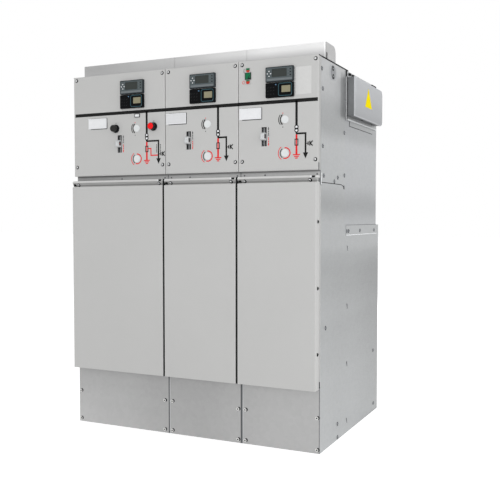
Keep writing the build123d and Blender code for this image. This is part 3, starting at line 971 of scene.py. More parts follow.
def make_diagram(name, prints):
    """One panel's part of the line diagram."""
    feeder, branch, tap_reach, tap_z = DIAGRAM_PLACES[name]
    line_x, branch_x = print_line(name) + feeder, print_line(name) + branch
    ink = Print(f"diagram_{name}", prints)
    draw_switch(ink, prints, line_x)
    draw_branch(ink, prints, line_x, branch_x)
    draw_earth(ink, prints, line_x)
    if name == "left":
        draw_cable_earth(ink, prints, line_x, branch_x)
    draw_tap(ink, prints, branch_x, tap_reach, tap_z)
    ink.build()


def draw_switch(ink, prints, x):
    """The feeder from the busbar line, with two white circles and the dash between them."""
    width = prints.feeder_line
    ink.stroke([(x, BUSBAR_Z), (x, CIRCLES_Z[0])], width, "black ink")
    ink.stroke([(x, CIRCLES_Z[1]), (x, NODE_Z)], width * LOWER_FEEDER, "black ink")
    for z in CIRCLES_Z:
        ink.fill(circle((x, z), prints.switch_circle + CIRCLE_EDGE), "black ink", 1.6)
        ink.fill(circle((x, z), prints.switch_circle), "white ink", 2.2)
    ink.fill(box_outline((x, sum(CIRCLES_Z) / 2), *DASH), "black ink", 2.8)


def draw_branch(ink, prints, line_x, branch_x):
    """The line to the cable, which ends in an arrow."""
    top = ARROW_TIP_Z + ARROW_HEAD
    path = [(line_x - 0.002, NODE_Z), (branch_x, NODE_Z), (branch_x, top)]
    ink.stroke(path, prints.branch_line, "black ink")
    head = [(branch_x, ARROW_TIP_Z), (branch_x + ARROW_HALF, top), (branch_x - ARROW_HALF, top)]
    ink.fill(head, "black ink", 1.4)


def draw_earth(ink, prints, x):
    """The red line through the fuse to the bars of the earth."""
    start = NODE_Z - prints.branch_line / 2
    ink.stroke([(x, start), (x, EARTH_Z)], prints.feeder_line * LOWER_FEEDER, "red ink")
    outer = box_outline((x, sum(FUSE_Z) / 2), FUSE_WIDTH, FUSE_Z[1] - FUSE_Z[0])
    inner = offset_line(outer, FUSE_WALL, closed=True)
    ink.fill(inner, "edge paint", 1.2)
    low, high = FUSE_Z[0] + prints.fine_line, FUSE_Z[1] - prints.fine_line
    ink.stroke([(x, low), (x, high)], FUSE_WIRE, "red ink", 1.4)
    ink.ring(outer, inner, "black ink", 1.6)
    for row, width in enumerate(EARTH_BARS):
        place = (x, EARTH_Z - EARTH_PITCH * row)
        ink.fill(box_outline(place, width, EARTH_BAR_WIDTH), "red ink", 1.4)


def draw_cable_earth(ink, prints, line_x, branch_x):
    """The wide panel's red link to the cable, and the two coils beside the cable."""
    right, top, foot = line_x + 0.0188, 1.1030, 1.0765
    path = [
        (line_x + 0.0058, top), (right, top), (right, foot),
        (branch_x - prints.branch_line / 2, foot),
    ]
    ink.stroke(path, 0.0042, "red ink", 1.5)
    for side in (-1, 1):
        for row in range(6):
            place = (branch_x + side * 0.0085, 1.0885 + 0.0054 * row)
            ink.fill(box_outline(place, 0.0034, 0.0036), "grey ink", 1.5)


def draw_tap(ink, prints, branch_x, reach, z):
    """The tap on the cable line: a short line, two bars and an open arrow."""
    x = branch_x + reach
    ink.stroke([(branch_x, z), (x, z)], prints.fine_line, "black ink")
    for shift, half in ((-0.0015, 0.0060), (0.0050, 0.0082)):
        bar = [(x + shift, z - half), (x + shift, z + half)]
        ink.stroke(bar, prints.symbol_line, "black ink", 1.2)
    arrow = [(x + 0.0155, z + 0.0085), (x + 0.0065, z), (x + 0.0155, z - 0.0085)]
    ink.stroke(arrow, prints.symbol_line, "black ink")


DRIVE_OFFSET = 0.029
DRIVE_RADIUS = 0.0135


def make_drive_marks(name, prints):
    """The turning arrows round a panel's two drive covers."""
    low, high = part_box("drive_covers")
    x = print_line(name) + DRIVE_OFFSET
    upper, lower = (x, high.z - DRIVE_RADIUS), (x, low.z + DRIVE_RADIUS)
    near, far = prints.arc_radius, prints.arc_radius + 0.0060
    ink = Print(f"drive_marks_{name}", prints)
    # Middle, radius, first and last angle, width and ink of each arc
    for place, radius, start, end, width, finish in (
        (upper, near, 128, 234, 0.0036, "black ink"),
        (upper, far + 0.0004, 138, 222, 0.0027, "black ink"),
        (lower, near, -112, 96, 0.0040, "red ink"),
        (lower, far + 0.0015, 124, 238, 0.0026, "red ink"),
        (lower, near, 124, 236, 0.0034, "grey ink"),
    ):
        ink.stroke(arc(place, radius, start, end), width, finish)
    for turn, lean in ((130, 42), (230, -42)):
        tip = polar(upper, near + 0.0012, math.radians(turn))
        ink.fill(arrow_head(tip, lean, 0.0052), "black ink", 1.2)
    for rise, finish in ((0.0225, "red ink"), (-0.0265, "grey ink")):
        ink.fill(box_outline((x - 0.009, upper[1] + rise), 0.0030, 0.0036), finish)
    ink.build()


def make_gate_marks(prints):
    """Beside each slot, a dark arrow for the switch above a red one for the earth."""
    ink = Print("gate_marks", prints)
    for name in PANELS:
        place = centre(f"gate_{name}")
        x = place.x + 0.0172
        for out, finish in ((1, "grey ink"), (-1, "red ink")):
            for row in range(4):
                z = place.z + out * (0.0055 + 0.0062 * row)
                ink.fill(box_outline((x, z), 0.0034, 0.0042), finish)
            ink.fill(arrow_head((x, place.z + out * 0.0290), 90 * out, 0.0050), finish)
    ink.build()


def make_slot_liners():
    """In each slot, the guide's dark back as painted shade, and bright strips of painted light at its
    back and on its left wall.
    """
    piece = Piece("slot_liners")
    back = front_face(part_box("gate_guides")[1].y - 0.003)
    for name in PANELS:
        place = centre(f"gate_{name}")
        # Painted shade at the slot's back, and painted light where its left side is lit
        piece.patch(back, box_outline((place.x, place.z), 0.0165, 0.067), "socket", 1)
        strip = box_outline((place.x - 0.0045, place.z), 0.0072, 0.066)
        piece.patch(back, strip, "slot steel", 2)
        wall = Face((place.x - 0.0085, 0, 0), Y, Z, X)
        piece.patch(wall, box_outline((BOARD_FACE + 0.0035, place.z), 0.0026, 0.067), "zinc", 1)
    piece.build()


def make_knob(name):
    """Grip ribs, a painted shadow on the right side, and a dark padlock hole on a slide gate's knob.
    """
    place = centre(f"gate_{name}")
    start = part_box(f"gate_{name}")[0].y
    piece = Piece(f"gate_grip_{name}")
    for row in range(-2, 3):
        rib = rounded((place.x - 0.0005, place.z + 0.0032 * row), 0.0072, 0.0016, 0.0006, 3)
        piece.slab(front_face(start), rib, -0.0004, 0.0006, "light plastic", edge=0.0002)
    side = Face((place.x + 0.008, 0, 0), Y, Z, X)
    # A painted shadow on the knob's right side, round the padlock hole
    knob_side_shadow = rounded((start + 0.0118, place.z + 0.001), 0.0110, 0.0170, 0.0050)
    piece.slab(side, knob_side_shadow, -2 * LAYER, 2 * LAYER, "socket")
    hole = circle((start + 0.0108, place.z), 0.0022, 20)
    piece.patch(side, hole, "gauge red" if name == "left" else "rubber", 4)
    piece.build(body=f"{name}_gate", slot="grey_plastic")


DEVICE_SIZE = (0.107, 0.053)
SCREEN_SIZE = (0.056, 0.028)
SCREEN_RISE = 0.0045
SCREEN_SINK = 0.0015
# The four keys, from the middle of their cross
KEYS = ((0, 0.0086), (-0.0062, 0), (0.0062, 0), (0, -0.0086))


def make_meter_front(name, devices):
    """A meter's foil with its keys, its lower band and the dark screen."""
    place = centre(f"meter_{name}")
    face = front_face(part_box(f"meter_{name}")[0].y)
    piece = Piece(f"meter_front_{name}")
    foil = devices.foil
    middle = (place.x, place.z + SCREEN_RISE)
    width, height = (size - 2 * devices.foil_margin for size in DEVICE_SIZE)
    window = rounded(middle, SCREEN_SIZE[0] + 0.0005, SCREEN_SIZE[1] + 0.0005, 0.0008)
    outer = rounded((place.x, place.z), width, height, 0.003)
    piece.rim(face, outer, window, foil, "meter face")
    width, height = (size - 2 * devices.glass_gap for size in SCREEN_SIZE)
    glass = rounded(middle, width, height, 0.0006)
    piece.slab(face, glass, -SCREEN_SINK, 0.0009 - SCREEN_SINK, "screen", edge=0.0002)
    lower = box_outline((place.x, place.z - 0.0182), 0.096, 0.0072)
    piece.slab(face, lower, foil, foil * 1.5, "meter band")
    for across, rise in KEYS:
        spot = (place.x - 0.039 + across, place.z + 0.0030 + rise)
        key = circle(spot, devices.key * 1.15, 4)
        piece.slab(face, key, foil, foil * 3, "white ink", edge=0.0003)
    for row in (-1, 0, 1):
        z = middle[1] + 0.0100 * row
        dark = rounded((place.x + 0.0425, z), 0.0046, 0.0036, 0.0008)
        piece.slab(face, dark, foil, foil * 3, "socket", edge=0.0003)
        light = rounded((place.x + 0.0345, z), 0.0022, 0.0022, 0.0006)
        piece.slab(face, light, foil, foil * 2, "meter band", edge=0.0001)
    piece.build(slot="device_grey")


def make_indicator_front(name, devices):
    """An indicator's symbols and lamp, and its plain display in a rounded frame."""
    place = centre(f"indicator_{name}")
    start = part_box(f"indicator_{name}")[0].y
    face, body = front_face(start), front_face(start + 0.0015)
    piece = Piece(f"indicator_front_{name}")
    x, z = place.x + 0.023, place.z
    inner = rounded((x, z), 0.0478, 0.0408, 0.0055)
    piece.rim(face, rounded((x, z), 0.0524, 0.0454, 0.0077), inner, 0.0005, "display frame")
    window = rounded((x + 0.003, z + 0.002), 0.0335, 0.0230, 0.0006)
    piece.slab(face, window, -SCREEN_SINK, 0.0011 - SCREEN_SINK, "display", edge=0.0002)
    mark = box_outline((x + 0.0235, z - 0.018), 0.0012, 0.005)
    piece.slab(face, mark, 0.0004, 0.0009, "meter band")
    left = place.x - DEVICE_SIZE[0] / 2
    for column in range(3):
        for row in range(3):
            spot_x, spot_z = left + 0.010 + 0.011 * column, z - 0.014 + 0.0115 * row
            ends = [(spot_x - 0.0022, spot_z - 0.002), (spot_x + 0.0022, spot_z + 0.002)]
            piece.slab(body, band(ends, 0.0007), 0, devices.foil * 0.6, "grey ink")
    lamp = ((0.0024, 0), (0.0024, 0.0006), (0.0014, 0.0012))
    piece.turned(body, (left + 0.0405, z + 0.0185), lamp, "lamp blue", count=20)
    piece.build(slot="device_black")


LABEL_SIZE = (0.085, 0.034)


def make_label_cards(devices):
    """A blank card in each label holder, and the shadow round the holder."""
    low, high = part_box("label_holders")
    z = (low.z + high.z) / 2
    starts = (low.x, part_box("board_middle")[0].x + 0.003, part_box("board_right")[0].x + 0.003)
    width, height = LABEL_SIZE
    piece = Piece("label_cards")
    face = front_face(BOARD_FACE - 0.001)
    for start, finish in zip(starts, ("white ink", "dim card", "white ink")):
        card = box_outline((start + width / 2 + 0.0002, z), width - 0.0006, height - 0.0004)
        piece.slab(face, card, 0, devices.foil, finish, edge=0.0001)
        shadow = rounded((start + 0.0505, z - 0.0007), 0.0805, 0.0440, 0.0035)
        piece.patch(BOARD, shadow, "grey ink")
    piece.build(slot="label_plastic")


# The gauge's windows: drop of the middle, width, height, rise of a round foot, and finish
GAUGE_WINDOWS = (
    (0.0046, 0.0136, 0.0075, 0, "green ink"),
    (0.0120, 0.0136, 0.0073, 0.0045, "gauge red"),
    (0.0295, 0.0196, 0.0216, 0, "green ink"),
    (0.0455, 0.0136, 0.0050, 0, "green ink"),
    (0.0528, 0.0136, 0.0098, 0.0050, "gauge red"),
)
# The bent needle and its hub, from the gauge's middle and its top
NEEDLE = ((0.0090, -0.0390), (0.0010, -0.0325), (0.0078, -0.0275))
NEEDLE_HUB = (0.0042, -0.0376)
WINDOW_CORNER = 0.0012
WINDOW_GLASS = 0.0009
POSITION_WINDOW = (0.0186, 0.0096)


def make_gauge():
    """The gas gauge's coloured windows with its needle, and the white position window."""
    low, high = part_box("state_windows")
    x, top = high.x - 0.012, high.z
    piece = Piece("gauge_windows")
    face = front_face(BOARD_FACE - 0.0018)
    position = (low.x + 0.0115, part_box("board_left")[1].z - 0.168)
    windows = [(box_outline(position, *POSITION_WINDOW), "white ink")]
    for drop, width, height, rise, finish in GAUGE_WINDOWS:
        if rise:
            outline = half_round((x, top - drop), width, height, rise, up=False)
        else:
            outline = rounded((x, top - drop), width, height, WINDOW_CORNER)
        windows.append((outline, finish))
    for outline, finish in windows:
        piece.slab(face, outline, 0, WINDOW_GLASS, finish, edge=0.0001)
    needle = band([(x + across, top + rise) for across, rise in NEEDLE], 0.0014)
    piece.slab(face, needle, 0.0008, 0.0012, "socket")
    place = (x + NEEDLE_HUB[0], top + NEEDLE_HUB[1])
    hub = half_round(place, 0.0110, 0.0048, 0.0035, up=True)
    piece.slab(face, hub, 0.0008, 0.0011, "black plastic")
    piece.build(slot="device_black")


def make_gauge_marks(prints):
    """A grey bracket and a red ring beside the gauge's two small windows."""
    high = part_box("state_windows")[1]
    x, top = high.x - 0.0305, high.z
    ink = Print("gauge_marks", prints)
    bracket = [(x + 0.003, top - 0.002), (x + 0.001, top - 0.010), (x + 0.003, top - 0.0175)]
    ink.stroke(bracket, 0.0014, "grey ink")
    place = (x, top - 0.0510)
    ink.ring(circle(place, 0.0056), circle(place, 0.0042), "red ink")
    ink.build()


BUTTON_MARK = (0.001, 0.0205)


def make_button_marks(prints):
    """A short bar over one button and a small ring over the other."""
    ink = Print("button_marks", prints)
    across, rise = BUTTON_MARK
    black, red = centre("black_button"), centre("red_button")
    ink.fill(box_outline((black.x + across, black.z + rise), 0.0016, 0.0042), "grey ink")
    place = (red.x + across, red.z + rise)
    ink.ring(circle(place, 0.0026, 20), circle(place, 0.0016, 20), "grey ink")
    ink.build()


RATING_PLATE = (0.059, 0.096)
RATING_PLATE_PLACE = (0.4675, 1.315)


def make_rating_plate(devices):
    """A blank silver plate on the right board."""
    piece = Piece("rating_plate")
    outline = rounded(RATING_PLATE_PLACE, *RATING_PLATE, 0.002)
    piece.slab(BOARD, outline, 0, devices.foil * 1.5, "plate silver", edge=0.0002)
    piece.build(slot="label_plastic")


RIVETS_X = (-0.307, 0.0018, 0.3127, 0.512)
RIVETS_Z = 0.990
SEAM_RIVET = 0.0145
RAIL_LIP = 0.018
FLOOR_GAP = 0.0005


def make_rail_rivets(fasteners):
    """Rivets along the rail, the seams between the panels and the front's right edge."""
    low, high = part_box("front_rail")
    face = front_face(low.y)
    seams = [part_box(f"board_{name}")[0].x for name in PANELS[1:]]
    places = [*RIVETS_X, *(x + side * SEAM_RIVET for x in seams for side in (-1, 1))]
    piece = Piece("rail_rivets")
    for x in places:
        piece.turned(face, (x, RIVETS_Z), RIVET_HEAD, "joint", fasteners.rivet / 2, count=16)
    for x, start, end in zip(seams, (-0.0028, -0.0006), (0.0024, 0.0062)):
        seam = oblong((x - 0.001, low.z), (x + 0.001, high.z))
        piece.patch(front_face(BODY_FRONT), seam, "socket", 5)
        piece.patch(face, oblong((x - 0.0012, low.z + 0.013), (x + 0.0012, high.z)), "joint")
        piece.patch(face, oblong((x + start, FLOOR_GAP), (x + end, PLINTH_TOP)), "joint", 4)
        # A painted highlight on the bent edge right of each plinth seam
        edge = oblong((x + end, FLOOR_GAP), (x + end + 0.003, PLINTH_TOP))
        piece.patch(face, edge, "edge zinc", 4)
    add_right_edge(piece, face, high.x, low.z - RAIL_LIP, high.z)
    piece.build(slot="galvanised")


def add_right_edge(piece, face, x, cover_top, rail_top):
    """At the front's right end, the rail's edge, a strip beside the cover and the plinth's joint."""
    piece.patch(face, oblong((x - 0.0008, cover_top), (x + 0.0008, rail_top)), "rosette", 4)
    strip = oblong((x - 0.0037, PLINTH_TOP), (x + 0.0009, cover_top))
    piece.slab(front_face(BODY_FRONT), strip, 0, 0.0018, "edge paint")
    piece.patch(face, oblong((x - 0.0016, FLOOR_GAP), (x, PLINTH_TOP - 0.006)), "joint", 4)
    corner = oblong((x - 0.0022, PLINTH_TOP - 0.0055), (x + 0.0008, PLINTH_TOP + 0.0175))
    piece.slab(face, corner, -4 * LAYER, 4 * LAYER, "socket")


GROOVE_DROP = 0.0165
GROOVE_FALL = Vector((0, 0.010, -0.015)).normalized()
GROOVE_INSET = 0.0250
GROOVE_INSETS = {"left": 0.0200, "middle": 0.0220, "right": 0.0260}


def make_cover_clips(fasteners):
    """In each cover's groove, two screws and a black clip, and a dark and a bright tab on its lip."""
    piece = Piece("cover_clips")
    for name in PANELS:
        low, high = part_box(f"cover_{name}")
        z = high.z - GROOVE_DROP
        slope = Face((0, low.y + 0.008, z), X, -GROOVE_FALL, X.cross(-GROOVE_FALL))
        for x in (low.x + GROOVE_INSET, high.x - GROOVE_INSETS[name]):
            piece.screw(slope, (x, 0.001), fasteners.groove_screw, joint=0.0032)
        clip = rounded((low.x + 0.0080, z), 0.0115, 0.0095, 0.0012)
        piece.slab(front_face(low.y + 0.0085), clip, -0.003, 0.0035, "rubber", edge=0.0006)
        lip = front_face(low.y)
        tab = rounded((high.x - 0.0100, high.z - 0.0045), 0.0110, 0.0068, 0.0012)
        piece.slab(lip, tab, -0.006, 0.0008, "rubber", edge=0.0004)
        bright = rounded((high.x - 0.0190, high.z - 0.0048), 0.0050, 0.0056, 0.0012)
        piece.slab(lip, bright, -0.006, 0.0006, "bright zinc", edge=0.0003)
    piece.build(slot="black_plastic")


COVER_SIDE_SCREWS_Z = (0.823, 0.590, 0.357)
COVER_SIDE_SCREWS_Y = -0.020


def make_cover_side(fasteners):
    """Screws on the outer returns of the end covers, and two openings at the right one's top."""
    for side, name, levels in (
        ("right", "cover_side_screws", {"joint": 0.0018, "finish": "rubber"}),
        ("left", "cover_left_screws", {}),
    ):
        face = outer_face(f"cover_{side}", SIDES[side])
        piece = Piece(name)
        for z in COVER_SIDE_SCREWS_Z:
            piece.screw(face, (COVER_SIDE_SCREWS_Y, z), fasteners.side_screw, **levels)
        if side == "right":
            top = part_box("cover_right")[1].z
            piece.patch(face, rounded((-0.0095, top - 0.0155), 0.0100, 0.0150, 0.0030), "joint")
            low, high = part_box("board_right")
            board_end = Face((high.x, low.y, 0), Y, Z, X)
            piece.patch(board_end, oblong((0.0006, low.z), (0.0086, low.z + 0.0255)), "joint")
        piece.build(slot="galvanised")


# Distances of the plinth's screws from the left and the right edge of each plate
PLINTH_INSETS = {"left": (0.007, 0.0196), "middle": (0.0125, 0.012), "right": (0.016, 0.010)}
PLINTH_SCREWS_Z = (0.1268, 0.0126)


def make_plinth_screws(fasteners):
    """A socket screw in a bright collar, over its shadow, in each corner of the plinth plates."""
    piece = Piece("plinth_screws")
    radius = fasteners.plinth_screw / 2
    collar = ((radius, 0), (radius, 0.0006), (radius * 0.94, 0.0010))
    for name, insets in PLINTH_INSETS.items():
        low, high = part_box(f"plinth_plate_{name}")
        face = front_face(low.y)
        for x in (low.x + insets[0], high.x - insets[1]):
            for z in PLINTH_SCREWS_Z:
                shadow = (x + radius * 0.75, z + radius * 0.3)
                piece.disc(face, shadow, radius * 1.15, 0, 2 * LAYER, "socket")
                piece.turned(face, (x, z), collar, "collar")
                piece.disc(face, (x, z), radius * 0.46, 0, 0.0013, "rubber")
    piece.build(slot="galvanised")


# Places on a side, as distances from the front and heights
SIDE_SCREWS = (
    (0.006, 1.357), (0.0154, 1.2885), (0.2557, 1.1587), (0.018, 1.089), (0.0296, 0.986),
    (0.1824, 0.986), (0.2586, 0.998), (0.143, 0.970), (0.0547, 0.4417), (0.663, 0.2655),
    (0.6707, 0.034), (0.1916, 0.0608), (0.1924, 0.010),
)
STRIP_SCREWS = ((0.289, 0.786), (0.310, 0.786), (0.457, 0.786), (0.660, 0.786))
STRAP = (0.0032, 0.974)
STRAP_SHADOW = (0.0036, 0.973)
TAB_DISTANCE = 0.305
TAB_HEIGHTS = (0.7187, 0.4945, 0.2694, 0.0475)


def make_side_screws(fasteners):
    """The screws of both outer sides, their round plates, dark top edges and bright straps."""
    for name, out in SIDES.items():
        sheet, strip = outer_face(f"side_sheet_{name}", out), outer_face("lap_strips", out)
        piece = Piece(f"side_screws_{name}")
        for face, places in ((sheet, SIDE_SCREWS), (strip, STRIP_SCREWS)):
            for place in places:
                piece.screw(face, place, fasteners.side_screw, joint=0.0030, finish="dull steel")
        add_round_plate(piece, sheet, outer_face("side_plates", out))
        piece.patch(sheet, oblong((0.0, SIDE_TOP - 0.0050), (0.300, SIDE_TOP)), "socket", 4)
        top = oblong((-0.021, SIDE_TOP - 0.0035), (-0.001, SIDE_TOP))
        piece.patch(outer_face(f"board_{name}", out), top, "socket")
        piece.patch(sheet, box_outline(STRAP_SHADOW, 0.0072, 0.046), "joint")
        strap = box_outline(STRAP, 0.0036, 0.042)
        piece.slab(sheet, strap, 0, 0.0012, "bright zinc", edge=0.0003)
        piece.build(slot="galvanised")


def add_round_plate(piece, sheet, plate):
    """The pressed ring round a side plate, two discs under it and two plugs on it."""
    z = centre("side_plates").z
    piece.patch(sheet, rounded((0.1230, z - 0.002), 0.0860, 0.0540, 0.0260), "soft ring", 2)
    piece.disc(sheet, (0.1262, z), 0.0245, 0, 0.0012, "joint")
    piece.disc(sheet, (0.1245, z), 0.0232, 0, 0.0023, "rosette")
    for place in ((0.1180, z + 0.0125), (0.1210, z - 0.0155)):
        piece.disc(plate, place, 0.0088, 2 * LAYER, 6 * LAYER, "rubber")
        piece.turned(plate, place, [(0.0036, 0.0006), (0.0028, 0.0016)], "rosette")


def make_side_tabs():
    """Small pressed tabs down each side sheet, where the partition hooks in."""
    for name, out in SIDES.items():
        sheet = outer_face(f"side_sheet_{name}", out)
        piece = Piece(f"side_tabs_{name}")
        for z in TAB_HEIGHTS:
            tab = rounded((TAB_DISTANCE, z), 0.012, 0.022, 0.004)
            piece.slab(sheet, tab, -0.0002, 0.0009, "zinc", edge=0.0007)
            mark = [
                (TAB_DISTANCE + shift, z + rise)
                for shift, rise in ((-0.008, 0.01), (-0.004, 0.01), (0.0005, -0.009), (-0.004, -0.009))
            ]
            piece.slab(sheet, mark, 0, 0.0010, "joint")
        piece.build(slot="galvanised")


def make_strip_edges():
    """A bright lower edge, as a painted highlight, and a dark joint above on each lap strip."""
    low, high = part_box("lap_strips")
    start, end = low.y - BODY_FRONT, high.y - BODY_FRONT
    for name, out in SIDES.items():
        piece = Piece(f"strip_edge_{name}")
        edge = oblong((start, low.z), (end, low.z + 0.0022))
        piece.slab(outer_face("lap_strips", out), edge, -0.001, 0.001, "bright zinc", edge=0.0004)
        joint = oblong((start, high.z), (end, high.z + 0.0016))
        piece.patch(outer_face(f"side_sheet_{name}", out), joint, "joint")
        piece.build(slot="galvanised")


def make_sheet_joint():
    """The dark joint round the top of each side sheet, under the mechanism housing."""
    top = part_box("side_sheet_right")[1].z
    joint = band([(0.004, top), (0.222, top), (0.250, top - 0.006)], 0.0026)
    end = rounded((0.2545, top - 0.0105), 0.0090, 0.0120, 0.0035)
    for name, out in SIDES.items():
        sheet = outer_face(f"side_sheet_{name}", out)
        piece = Piece(f"sheet_joint_{name}")
        piece.patch(sheet, joint, "socket")
        piece.patch(sheet, end, "socket", 4)
        piece.build()


# Corners of the plate, as distances from the front and heights
YELLOW_PLATE = ((0.413, 1.275), (0.505, 1.275), (0.456, 1.350))


def make_busbar_plate():
    """The plain yellow plate of the busbar end box."""
    piece = Piece("busbar_plate")
    face = outer_face("busbar_cover", 1)
    piece.slab(face, YELLOW_PLATE, 0, 0.0006, "yellow paint", edge=0.0001)
    piece.build(slot="label_plastic")


TRAY_LIP = 0.018


def make_busbar_slots():
    """Slots under the busbar end box, the joints, painted shadows and painted highlights of its tray,
    its clips and its seal.
    """
    piece = Piece("busbar_slots")
    low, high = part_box("busbar_frame")
    under = Face((0, BODY_FRONT, low.z), Y, X, -Z)
    for distance in (0.430, 0.560):
        slot = rounded((distance, (low.x + high.x) / 2), 0.030, 0.006, 0.0028)
        piece.patch(under, slot, "socket", 2)
    low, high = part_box("busbar_tray")
    wall = side_face(low.x, 1)
    add_tray_lines(piece, wall, low, high)
    gap = oblong((low.y - BODY_FRONT - 0.0035, high.z), (low.y - BODY_FRONT + 0.0005, 1.3945))
    piece.slab(wall, gap, 0, 0.004, "rubber", edge=0.001)
    for distance in (0.315, 0.355):
        clip = rounded((distance, 1.3865), 0.016, 0.009, 0.0020)
        piece.slab(wall, clip, 0, 0.006, "rubber", edge=0.0015)
    cover_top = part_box("busbar_cover")[1]
    seal = rounded((0.5415, cover_top.z + 0.0018), 0.0600, 0.0066, 0.0020)
    piece.slab(side_face(cover_top.x - 0.003, 1), seal, -0.004, 0.001, "rubber")
    piece.build(slot="black_plastic")


def add_tray_lines(piece, wall, low, high):
    """The dark joints and painted shadows of the tray, and the painted highlights of its front edge
    and rim.
    """
    start, end = low.y - BODY_FRONT, high.y - BODY_FRONT
    corner, lip = low.x + 0.0036, low.z + TRAY_LIP
    path = [(start + 0.043, lip), (start + 0.043, low.z - 0.0006), (start + 0.352, low.z - 0.0006)]
    piece.patch(wall, band(path, 0.0022), "socket", 4)
    piece.patch(wall, oblong((start - 0.006, low.z + 0.016), (start, high.z)), "joint")
    front = front_face(low.y)
    # A painted highlight on the tray's front edge and a painted shadow beside it
    piece.patch(front, oblong((low.x, lip), (corner, high.z)), "edge zinc", 5)
    piece.patch(front, oblong((corner, lip), (high.x, high.z)), "socket")
    rim = oblong((start, lip), (end, low.z + 0.0236))
    piece.patch(side_face(high.x, 1), rim, "bright rim", 4)


REAR_SCREW_INSET = 0.014
REAR_SCREW_MARGIN = 0.03


def make_rear_screws(fasteners):
    """A column of screws down each side of every rear sheet."""
    piece = Piece("rear_screws")
    low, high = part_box("rear_sheets")
    face = Face((0, high.y, 0), X, Z, Y)
    rows = round((high.z - low.z) / fasteners.rear_screw_pitch)
    reach = high.z - low.z - 2 * REAR_SCREW_MARGIN
    for name in PANELS:
        left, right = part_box(f"board_{name}")
        for x in (left.x + REAR_SCREW_INSET, right.x - REAR_SCREW_INSET):
            for row in range(rows + 1):
                z = low.z + REAR_SCREW_MARGIN + reach * row / rows
                piece.screw(face, (x, z), fasteners.side_screw)
    piece.build(slot="galvanised")


def make_duct_screws(fasteners):
    """Screws along the duct's roof, two for each length, and a slot in each of its ends."""
    piece = Piece("duct_screws")
    for name in PANELS:
        low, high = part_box(f"duct_{name}")
        roof = Face((0, 0, high.z), X, Y, Z)
        for x in (low.x + 0.04, high.x - 0.04):
            piece.screw(roof, (x, low.y + 0.045), fasteners.side_screw)
    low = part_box("duct_ends")[0]
    start = low.y - BODY_FRONT
    slot = oblong((start + 0.002, low.z), (start + 0.0115, low.z + 0.021))
    for out in SIDES.values():
        piece.patch(outer_face("duct_ends", out), slot, "socket")
    piece.build(slot="galvanised")


FLOOR_REACH = 30.0
FLOOR_GLOW = 0.52


def make_floor(stage):
    """A wide pale floor that stays white to the camera, apart from the block's shadow."""
    mesh = bpy.data.meshes.new("floor")
    corners = [(x, y, 0) for x, y in box_outline((0, 0), 2 * FLOOR_REACH, 2 * FLOOR_REACH)]
    mesh.from_pydata(corners, [], [(0, 1, 2, 3)])
    floor = bpy.data.objects.new("floor", mesh)
    bpy.context.scene.collection.objects.link(floor)
    material = bpy.data.materials.new("floor")
    material.use_nodes = True
    tree = material.node_tree
    tree.nodes.clear()
    matt = tree.nodes.new("ShaderNodeBsdfDiffuse")
    matt.inputs["Color"].default_value = (*stage.floor_paint, 1)
    glow = tree.nodes.new("ShaderNodeEmission")
    lift = tree.nodes.new("ShaderNodeMath")
    lift.operation = "MULTIPLY"
    lift.inputs[1].default_value = FLOOR_GLOW
    both = tree.nodes.new("ShaderNodeAddShader")
    output = tree.nodes.new("ShaderNodeOutputMaterial")
    link = tree.links.new
    link(direct_rays(tree), lift.inputs[0])
    link(lift.outputs["Value"], glow.inputs["Strength"])
    link(matt.outputs["BSDF"], both.inputs[0])
    link(glow.outputs["Emission"], both.inputs[1])
    link(both.outputs["Shader"], output.inputs["Surface"])
    mesh.materials.append(material)


def make_world(stage):
    """An even room: white to the camera and in gloss, and softer as light."""
    world = bpy.data.worlds.new("room")
    bpy.context.scene.world = world
    world.use_nodes = True
    tree = world.node_tree
    tree.nodes.clear()
    light = tree.nodes.new("ShaderNodeBackground")
    light.inputs["Color"].default_value = (1, 1, 1, 1)
    level = tree.nodes.new("ShaderNodeMapRange")
    level.inputs["To Min"].default_value = stage.world_level
    level.inputs["To Max"].default_value = 1.0
    output = tree.nodes.new("ShaderNodeOutputWorld")
    link = tree.links.new
    link(direct_rays(tree), level.inputs["Value"])
    link(level.outputs["Result"], light.inputs["Strength"])
    link(light.outputs["Background"], output.inputs["Surface"])


# Place, aim and size of each lamp
LAMPS = {
    "key lamp": ((1.8, -6.4, 1.7), (0, 0, 0.7), 4.0),
    "side lamp": ((4.6, -1.0, 1.9), (0.3, 0, 0.7), 3.0),
    "back lamp": ((-0.5, 4.2, 2.6), (0, 0, 0.8), 3.0),
}


def make_lamp(name, place, target, size, power):
    """A soft square lamp that looks at a point."""
    data = bpy.data.lights.new(name, "AREA")
    data.shape = "SQUARE"
    data.size = size
    data.energy = power
    lamp = bpy.data.objects.new(name, data)
    lamp.location = place
    lamp.rotation_euler = (Vector(target) - Vector(place)).to_track_quat("-Z", "Y").to_euler()
    bpy.context.scene.collection.objects.link(lamp)


def make_camera(stage):
    """The camera, in front and to the right at about the height of a table."""
    data = bpy.data.cameras.new("camera")
    data.lens = stage.lens
    data.sensor_width = 36.0
    camera = bpy.data.objects.new("camera", data)
    camera.location = stage.camera_place
    camera.rotation_euler = (math.pi / 2 - stage.camera_dip, 0, stage.camera_turn)
    bpy.context.scene.collection.objects.link(camera)
    bpy.context.scene.camera = camera


class SWITCHGEAR_OT_coat_nodes(bpy.types.Operator):
    """Make the finishes and give each CAD node its own."""
    bl_idname = "switchgear.coat_nodes"
    bl_label = "Coat sheets and housings"

    def execute(self, context):
        tones = context.scene.switchgear_finishes
        make_sheet_finishes(tones)
        make_fitting_finishes(tones)
        coat_nodes()
        return {"FINISHED"}


